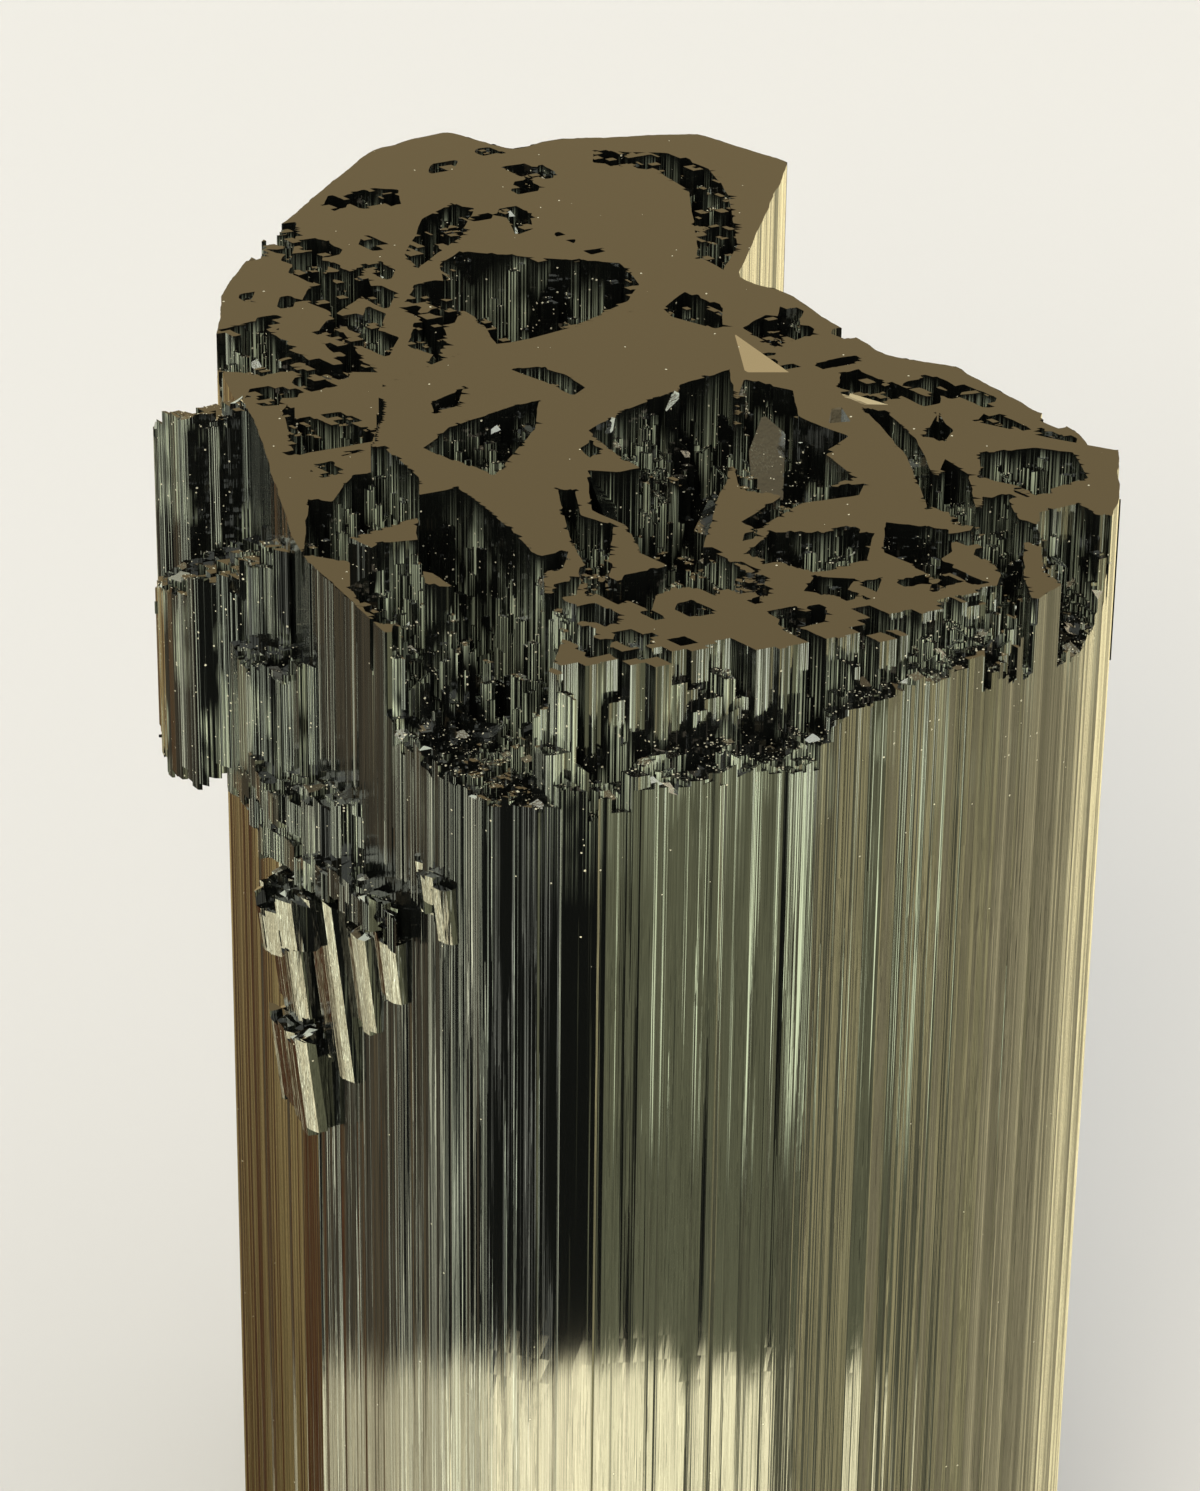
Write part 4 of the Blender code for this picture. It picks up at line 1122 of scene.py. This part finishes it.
# Share of the cells with a speck, on upright walls and on level floors: where all broken, and at least.
WALL_DUST, FLOOR_DUST = (0.1, 0.0008), (0.45, 0.004)
SMOOTH, DULL, DUSTY = 0.025, 0.5, 0.7  # roughness
GRAIN_PATCHES = 0.4


def drawn_out(tree, place, size, **inputs):
    """Noise whose spots have this width across and this length along the prism, in millimetres."""
    width, length = size
    scale = (1 / (width * MM), 1 / (width * MM), 1 / (length * MM))
    stretched = node(tree, "Mapping", {"Vector": place, "Scale": scale}).outputs["Vector"]
    return node(tree, "TexNoise", {"Vector": stretched, "Scale": 1.0, **inputs}).outputs["Fac"]


def dull_lines(tree, place, broken):
    """Dull lines on stretches of broken walls, where the striae's noise is high; on upright walls, painted
    highlights.
    """
    lines = drawn_out(tree, place, DULL_LINES, Detail=3.0, Roughness=0.6)
    stretches = drawn_out(tree, place, DULL_STRETCHES, Detail=2.0)
    lines = node(tree, "MapRange", {"Value": lines, "From Min": 0.5, "From Max": 0.62}).outputs["Result"]
    stretches = node(tree, "MapRange", {
        "Value": stretches, "From Min": 0.45, "From Max": 0.55}).outputs["Result"]
    both = node(tree, "Math", {0: lines, 1: broken}, operation="MULTIPLY").outputs[0]
    return node(tree, "Math", {0: both, 1: stretches}, operation="MULTIPLY").outputs[0]


def settled_dust(tree, place, broken, upright):
    """Dust: a speck sits in the middle of some cells of a foam, more of them on level broken ground."""
    foam = node(tree, "TexVoronoi", {"Vector": place, "Scale": 1 / (DUST_SPACING * MM)})
    random = node(tree, "SeparateColor", {"Color": foam.outputs["Color"]})
    size = node(tree, "Math", {0: random.outputs["Red"], 1: SPECK[0], 2: SPECK[1]}, operation="MULTIPLY_ADD")
    speck = node(tree, "Math", {0: foam.outputs["Distance"], 1: size.outputs[0]}, operation="LESS_THAN")
    on_walls, on_floors = (
        node(tree, "Math", {0: broken, 1: most, 2: least}, operation="MULTIPLY_ADD").outputs[0]
        for most, least in (WALL_DUST, FLOOR_DUST))
    share = node(tree, "Mix", {0: upright, "A": on_floors, "B": on_walls}, data_type="FLOAT").outputs[0]
    present = node(tree, "Math", {0: random.outputs["Green"], 1: share}, operation="LESS_THAN")
    return node(tree, "Math", {0: speck.outputs[0], 1: present.outputs[0]}, operation="MULTIPLY").outputs[0]


def tourmaline_finish(colours):
    """Black tourmaline as grown: faces laid down layer by layer, so flats are mirror-smooth and the prism
    carries growth striae. Where it broke, the walls are striated with dull lines and dust has settled, and
    the dull lines of upright walls carry painted highlights in a pale colour. The eye gets sharp reflections
    drawn out into upright lines, and pale specks in the pits."""
    material = new_material("black_tourmaline_as_grown")
    tree = material.node_tree
    place = node(tree, "TexCoord").outputs["Object"]
    broken = node(tree, "Attribute", attribute_name="broken").outputs["Fac"]
    normal = node(tree, "SeparateXYZ", {"Vector": node(tree, "NewGeometry").outputs["Normal"]})
    upright = node(tree, "MapRange", {
        "Value": normal.outputs["Z"], "From Min": 0.95, "From Max": 0.5}).outputs["Result"]
    dull = dull_lines(tree, place, broken)
    dust = settled_dust(tree, place, broken, upright)
    rough = node(tree, "MapRange", {"Value": dull, "To Min": SMOOTH, "To Max": DULL}).outputs["Result"]
    rough = node(tree, "Mix", {0: dust, "A": rough, "B": DUSTY}, data_type="FLOAT").outputs[0]
    # Painted highlights: the dull lines of upright walls are painted pale, for the light that fine striae
    # catch.
    painted_highlight = node(tree, "Math", {0: dull, 1: upright}, operation="MULTIPLY").outputs[0]
    stone_and_painted_highlight = node(tree, "Mix", {"Factor": painted_highlight, "A": colours.body[:], "B": colours.painted_highlight[:]},
                 data_type="RGBA").outputs[2]
    tint = node(tree, "Mix", {"Factor": dust, "A": stone_and_painted_highlight, "B": colours.grain[:]}, data_type="RGBA").outputs[2]
    height = drawn_out(tree, place, FINE_STRIAE, Detail=2.0, Roughness=0.6)
    strength = node(tree, "Math", {0: upright, 1: 0.5}, operation="MULTIPLY").outputs[0]
    bump = node(tree, "Bump", {"Height": height, "Strength": strength, "Distance": FINE_STRIA_DEPTH * MM})
    shader = node(tree, "BsdfPrincipled", {
        "Base Color": tint, "Roughness": rough, "Normal": bump.outputs["Normal"], "IOR": 1.65,
        "Metallic": 0.0})
    node(tree, "OutputMaterial", {"Surface": shader.outputs["BSDF"]})
    return material


def grain_finish(colours):
    """Crumbs of quartz and feldspar dust: broken, so dull, and pale against the black."""
    material = new_material("feldspar_dust_broken")
    tree = material.node_tree
    patches = node(tree, "TexNoise", {
        "Vector": node(tree, "TexCoord").outputs["Object"], "Scale": 1 / (GRAIN_PATCHES * MM), "Detail": 2.0})
    tint = set_stops(node(tree, "ValToRGB", {"Fac": patches.outputs["Fac"]}),
                     [(0.35, linear("#4a4636")), (0.65, colours.grain[:])])
    shader = node(tree, "BsdfPrincipled", {"Base Color": tint, "Roughness": 0.6})
    node(tree, "OutputMaterial", {"Surface": shader.outputs["BSDF"]})
    return material


def floor_finish(colours):
    """Matt paper: an even pale ground."""
    material = new_material("matt_paper")
    tree = material.node_tree
    shader = node(tree, "BsdfPrincipled", {"Base Color": colours.floor[:], "Roughness": 0.9})
    node(tree, "OutputMaterial", {"Surface": shader.outputs["BSDF"]})
    return material


# ---------------------------------------------------------------- studio

# The surroundings that the faces mirror. Directions are degrees round from straight at the viewer, with
# the right positive, and degrees above the horizon.
STRENGTH = 16.0  # of the whole, and so the most that a ramp can hold
# Upright bands: direction, tint and radiance, from left to right. A ramp holds 32 at the most.
BANDS = (
    (-178, "#c4ab68", 0.36), (-149, "#c4ab68", 0.36),
    (-144, "#a8683f", 0.45), (-135, "#a8683f", 0.45),
    (-132, "#8c7a58", 1.5), (-127, "#8c7a58", 1.5),
    (-124, "#7a705a", 1.4), (-119, "#7a705a", 1.4), (-109, "#7a705a", 1.2),
    (-104, "#20231e", 0.15), (-100, "#eef0d0", 6.5), (-97, "#20231e", 0.15),
    (-80, "#20231e", 0.15), (-77, "#e6eccd", 8.0), (-74.5, "#20231e", 0.12),
    (-58, "#20231e", 0.12), (-55, "#dfe8cc", 9.5), (-52.5, "#2c3028", 0.12),
    (-34, "#2c3028", 0.12), (-31, "#eef2de", 4.0), (-28, "#20231e", 0.04),
    (2, "#20231e", 0.04), (6, "#c4c79a", 2.4), (12, "#c4c79a", 2.2), (18, "#cdcf9f", 1.9),
    (33, "#cdcf9f", 1.9), (42, "#c9c79c", 1.5), (52, "#c9c79c", 1.5), (56, "#e8dca4", 4.2),
    (64, "#e0d8a0", 3.0), (78, "#d8cda0", 2.3), (166, "#d8cda0", 2.2),
)
# The bands' strength at heights in degrees, from straight down.
BAND_HEIGHTS = ((-90, 0.6), (-45, 1.0), (-25, 1.0), (0, 0.55), (8, 0.0))
# The bright ground before the crystal: tint and radiance, its strength by direction, and the heights in
# degrees between which its far edge fades.
GROUND = ("#fff6c8", 0.95 * STRENGTH)
GROUND_TURNS = (
    (-127, 0.0), (-123, 0.11), (-98, 0.16), (-88, 0.36), (-76, 0.25), (-60, 0.45), (-45, 0.35),
    (-30, 0.75), (-16, 0.6), (-8, 0.85), (8, 0.6), (24, 0.68), (30, 0.5), (36, 0.1), (42, 0.0),
)
GROUND_EDGE = (-39.35, -39.1)
LINES = 200.0  # of uneven brightness, once round
# Round panels: direction, height, half-angle, width of the soft edge, tint and radiance.
PANELS = (
    (180, 40, 48, 40, "#c0a878", 2.4),
    (-22, 44, 24, 8, "#e9efe2", 8.0),
    (-118, 42, 20, 8, "#e8f4e2", 7.0),
    (78, 34, 14, 8, "#fff2d4", 5.0),
    (38, -35.4, 1.1, 1.4, "#e6f2c8", 12.0),
    (41, -33.0, 0.9, 1.2, "#eef4de", 10.0),
    (74, -37.0, 4.0, 1.5, "#20231e", 0.3),
    (172, 6, 9, 6, "#f0e4b8", 1.4),
    (164, 26, 5, 3, "#e8cf9a", 2.3),
    (0, 88, 20, 20, "#d8d0b0", 1.2),
)
# Soft lamps: place that each shines from, spread in degrees, strength and tint.
LAMPS = {
    "key": ((-0.12, -0.6, 0.5), 25, 1.8, "#fff6e8"),
    "fill": ((0.4, -0.5, 0.9), 90, 0.6, "#eef2ff"),
}
FLOOR_HALF, FLOOR_DROP = 4.0, 2e-5  # metres: half a side, and how far below the crystal


def radiance(hex_colour, strength):
    """The sRGB hex colour as linear RGBA, times its share of the whole strength."""
    return tuple(c * strength / STRENGTH for c in linear(hex_colour)[:3]) + (1.0,)


def grey(value):
    """A grey for a ramp."""
    return (value, value, value, 1.0)


def place_round(degrees):
    """Place on the radial ramp of a direction this far round from straight at the viewer, to the right."""
    return ((degrees + 90.0) / 360.0) % 1.0


def place_up(degrees):
    """Place on the height ramp of a direction this far above the horizon: half of one plus its sine."""
    return (1 + math.sin(math.radians(degrees))) / 2


def bands_and_ground(tree, direction):
    """Upright bands times their strength by height, plus the ground below its far edge, times fine lines of
    uneven brightness that set the ribs of the prism off against each other."""
    height = node(tree, "SeparateXYZ", {"Vector": direction}).outputs["Z"]
    around = node(tree, "TexGradient", {"Vector": direction}, gradient_type="RADIAL").outputs["Fac"]
    raised = node(tree, "Math", {0: height, 1: 0.5, 2: 0.5}, operation="MULTIPLY_ADD").outputs[0]
    by_turn = set_stops(node(tree, "ValToRGB", {"Fac": around}),
                        [(place_round(towards), radiance(*light)) for towards, *light in BANDS])
    by_height = set_stops(node(tree, "ValToRGB", {"Fac": raised}),
                          [(place_up(degrees), grey(share)) for degrees, share in BAND_HEIGHTS])
    upright = node(tree, "Mix", {"Factor": 1.0, "A": by_turn, "B": by_height},
                   data_type="RGBA", blend_type="MULTIPLY").outputs[2]
    ground = set_stops(node(tree, "ValToRGB", {"Fac": around}),
                       [(place_round(towards), grey(share)) for towards, share in GROUND_TURNS])
    low, high = (math.sin(math.radians(degrees)) for degrees in GROUND_EDGE)
    below = node(tree, "MapRange", {
        "Value": height, "From Min": low, "From Max": high, "To Min": 1.0, "To Max": 0.0}).outputs["Result"]
    share = node(tree, "Math", {0: ground, 1: below}, operation="MULTIPLY").outputs[0]
    total = node(tree, "Mix", {"Factor": share, "A": upright, "B": radiance(*GROUND)},
                 data_type="RGBA", blend_type="ADD").outputs[2]
    fine = node(tree, "TexNoise", {"W": around, "Scale": LINES, "Detail": 1.0}, noise_dimensions="1D")
    uneven = node(tree, "MapRange", {
        "Value": fine.outputs["Fac"], "From Min": 0.4, "From Max": 0.6, "To Min": 0.4, "To Max": 1.6})
    uneven = uneven.outputs["Result"]
    return node(tree, "VectorMath", {0: total, "Scale": uneven}, operation="SCALE").outputs[0]


def with_panel(tree, direction, total, towards, height, half, soft, tint, strength):
    """The surroundings so far plus a round panel, found by the cosine of the angle to its middle."""
    azimuth, elevation = math.radians(towards), math.radians(height)
    aim = (math.cos(elevation) * math.sin(azimuth), -math.cos(elevation) * math.cos(azimuth),
           math.sin(elevation))
    facing = node(tree, "VectorMath", {0: direction, 1: aim}, operation="DOT_PRODUCT").outputs["Value"]
    share = node(tree, "MapRange", {
        "Value": facing, "From Min": math.cos(math.radians(half + soft)),
        "From Max": math.cos(math.radians(half))}, interpolation_type="SMOOTHSTEP").outputs["Result"]
    return node(tree, "Mix", {"Factor": share, "A": total, "B": radiance(tint, strength)},
                data_type="RGBA", blend_type="ADD").outputs[2]


def light_around():
    """Soft even light for the floor, and the surroundings that the crystal's faces mirror: upright bands,
    a bright cream ground before the crystal, a tan panel behind and bright panels in front and at the
    sides."""
    scene_world = bpy.data.worlds.new("studio")
    scene_world.use_nodes = True
    tree = scene_world.node_tree
    tree.nodes.clear()
    direction = node(tree, "TexCoord").outputs["Generated"]
    total = bands_and_ground(tree, direction)
    for panel in PANELS:
        total = with_panel(tree, direction, total, *panel)
    mirrored = node(tree, "Background", {"Color": total, "Strength": STRENGTH})
    plain = node(tree, "Background", {"Color": linear("#e9ebee"), "Strength": 1.0})
    mixed = node(tree, "MixShader", {
        0: node(tree, "LightPath").outputs["Is Glossy Ray"], 1: plain.outputs[0], 2: mirrored.outputs[0]})
    node(tree, "OutputWorld", {"Surface": mixed.outputs[0]})
    bpy.context.scene.world = scene_world


def lay_floor(material):
    """A wide level sheet just below the crystal, which the crystal doesn't mirror."""
    mesh = bpy.data.meshes.new("floor")
    corners = [(x * FLOOR_HALF, y * FLOOR_HALF, -FLOOR_DROP) for x, y in ((-1, -1), (1, -1), (1, 1), (-1, 1))]
    mesh.from_pydata(corners, [], [(0, 1, 2, 3)])
    mesh.materials.append(material)
    floor = bpy.data.objects.new("floor", mesh)
    bpy.context.scene.collection.objects.link(floor)
    floor.visible_glossy = floor.visible_shadow = False


def soft_lamp(name, place, spread, strength, tint):
    """A far soft lamp that shines from this place towards the crystal, and that no face mirrors."""
    data = bpy.data.lights.new(name, "SUN")
    data.angle, data.energy = math.radians(spread), strength
    data.color = linear(tint)[:3]
    lamp = bpy.data.objects.new(name, data)
    lamp.location = place
    lamp.rotation_euler = (-Vector(place)).to_track_quat("-Z", "Y").to_euler()
    lamp.visible_glossy = False
    bpy.context.scene.collection.objects.link(lamp)


def aim_camera():
    """A long lens at the viewer's place, looking down at the termination."""
    data = bpy.data.cameras.new("viewer")
    data.lens = LENS
    data.sensor_fit = "VERTICAL"
    data.sensor_height = SENSOR
    data.clip_start, data.clip_end = 0.005, 50.0
    camera = bpy.data.objects.new("viewer", data)
    tilt = Matrix.Rotation(math.radians(90 - LOOK_DOWN), 4, "X")
    roll = Matrix.Rotation(math.radians(ROLL), 4, "Z")
    camera.matrix_world = Matrix.Translation(Vector(world(np.array(CAMERA_AT)))) @ tilt @ roll
    bpy.context.scene.collection.objects.link(camera)
    bpy.context.scene.camera = camera


# ---------------------------------------------------------------- operators

KEPT = {}  # what the termination's operator worked out and later ones need


def kept(key):
    """One of the things that the termination's operator worked out."""
    if key not in KEPT:
        raise RuntimeError("Build the termination first")
    return KEPT[key]


class SCHORL_OT_termination(bpy.types.Operator):
    """Build the platform and the rear terrace from columns on the crystal's own lattice"""
    bl_idname = "schorl.termination"
    bl_label = "Termination"

    def execute(self, context):
        sizes = context.scene.schorl_sizes
        finish = tourmaline_finish(context.scene.schorl_colours)
        outline = Outline(PRISM, SEED, in_mm(sizes.rib_width), in_mm(sizes.rib_depth),
                          in_mm(sizes.stria_depth), CORNER_SETBACK)
        outline.calm = [outline.nearest(*np.array(strip).T)[1] for strip in CALM_STRIPS]
        front_along, front_field = termination(
            "front_termination", FRONT_SHEET, FRONT_FOOT, in_mm(sizes.front_pitch), FRONT_SEED, False,
            outline, finish)
        rear_along, rear_field = termination(
            "rear_termination", REAR_SHEET, REAR_FOOT, in_mm(sizes.rear_pitch), REAR_SEED, True, outline,
            finish)
        KEPT.update(finish=finish, outline=outline, fields=(front_field, rear_field),
                     along=np.concatenate([front_along, rear_along]))
        return {"FINISHED"}


class SCHORL_OT_prism(bpy.types.Operator):
    """Build the striated prism below the termination, down to the flat cut"""
    bl_idname = "schorl.prism"
    bl_label = "Striated prism"

    def execute(self, context):
        prism_wall(kept("outline"), kept("along"), context.scene.schorl_sizes.prism_rows, kept("finish"))
        return {"FINISHED"}


class SCHORL_OT_growths(bpy.types.Operator):
    """Build the side crystal and the broken columns on the left flank"""
    bl_idname = "schorl.growths"
    bl_label = "Side crystal and broken columns"

    def execute(self, context):
        pitch = in_mm(context.scene.schorl_sizes.growth_pitch)
        for number, (name, (top, fall, foot, rise, corners)) in enumerate(GROWTHS.items()):
            vertices, faces = column_group(corners, pitch, FIRST_GROWTH_SEED + number, top, fall, foot, rise,
                                           **GROWTH_RAGGED)
            broken = np.full(len(vertices), GROWTH_BROKEN)
            mesh_piece(name, world(vertices), faces, kept("finish"), broken=broken)
        return {"FINISHED"}


class SCHORL_OT_blades(bpy.types.Operator):
    """Build the cluster of leaning blades on the left flank"""
    bl_idname = "schorl.blades"
    bl_label = "Blade cluster"

    def execute(self, context):
        pitch = in_mm(context.scene.schorl_sizes.growth_pitch)
        parts = []
        for number, (middle, top, length, width, thickness, turned) in enumerate(BLADES.values()):
            corners = blade_outline(middle, width, thickness, turned)
            vertices, faces = column_group(corners, pitch, FIRST_BLADE_SEED + number, top, (0, 0),
                                           top + length, 0, **BLADE_RAGGED)
            parts.append((leaned(vertices, middle, top), faces))
        vertices, faces = joined(parts)
        broken = np.full(len(vertices), BLADE_BROKEN)
        mesh_piece("blade_cluster", world(vertices), faces, kept("finish"), broken=broken)
        return {"FINISHED"}


class SCHORL_OT_grains(bpy.types.Operator):
    """Scatter loose grains over the termination"""
    bl_idname = "schorl.grains"
    bl_label = "Loose grains"

    def execute(self, context):
        rng = np.random.default_rng(GRAIN_SEED)
        vertices, faces = grains_on(kept("fields"), context.scene.schorl_sizes.grains, rng)
        mesh_piece("loose_grains", world(vertices), faces, grain_finish(context.scene.schorl_colours))
        return {"FINISHED"}


class SCHORL_OT_stage(bpy.types.Operator):
    """Set up the floor, the light and the camera"""
    bl_idname = "schorl.stage"
    bl_label = "Studio"

    def execute(self, context):
        lay_floor(floor_finish(context.scene.schorl_colours))
        light_around()
        for name, lamp in LAMPS.items():
            soft_lamp(name, *lamp)
        aim_camera()
        context.scene.view_settings.view_transform = "Standard"
        return {"FINISHED"}


class SCHORL_PT_panel(bpy.types.Panel):
    """The crystal's settings, and a button for each step in the order that they are run"""
    bl_label = "Schorl Crystal"
    bl_idname = "SCHORL_PT_panel"
    bl_space_type = "VIEW_3D"
    bl_region_type = "UI"
    bl_category = "Schorl"

    def draw(self, context):
        for settings in (context.scene.schorl_sizes, context.scene.schorl_colours):
            for name in settings.__annotations__:
                self.layout.prop(settings, name)
        for operator in STEPS:
            self.layout.operator(operator.bl_idname)


STEPS = (SCHORL_OT_termination, SCHORL_OT_prism, SCHORL_OT_growths, SCHORL_OT_blades, SCHORL_OT_grains,
         SCHORL_OT_stage)
CLASSES = (SchorlSizes, SchorlColours) + STEPS + (SCHORL_PT_panel,)


def register():
    """Adds the classes and the scene's settings."""
    for cls in CLASSES:
        bpy.utils.register_class(cls)
    bpy.types.Scene.schorl_sizes = bpy.props.PointerProperty(type=SchorlSizes)
    bpy.types.Scene.schorl_colours = bpy.props.PointerProperty(type=SchorlColours)


def unregister():
    """Takes them away again in the opposite order."""
    del bpy.types.Scene.schorl_colours
    del bpy.types.Scene.schorl_sizes
    for cls in reversed(CLASSES):
        bpy.utils.unregister_class(cls)


def main():
    """Builds the pieces and the stage in order."""
    register()
    bpy.ops.schorl.termination()
    bpy.ops.schorl.prism()
    bpy.ops.schorl.growths()
    bpy.ops.schorl.blades()
    bpy.ops.schorl.grains()
    bpy.ops.schorl.stage()


if __name__ == "__main__":
    main()
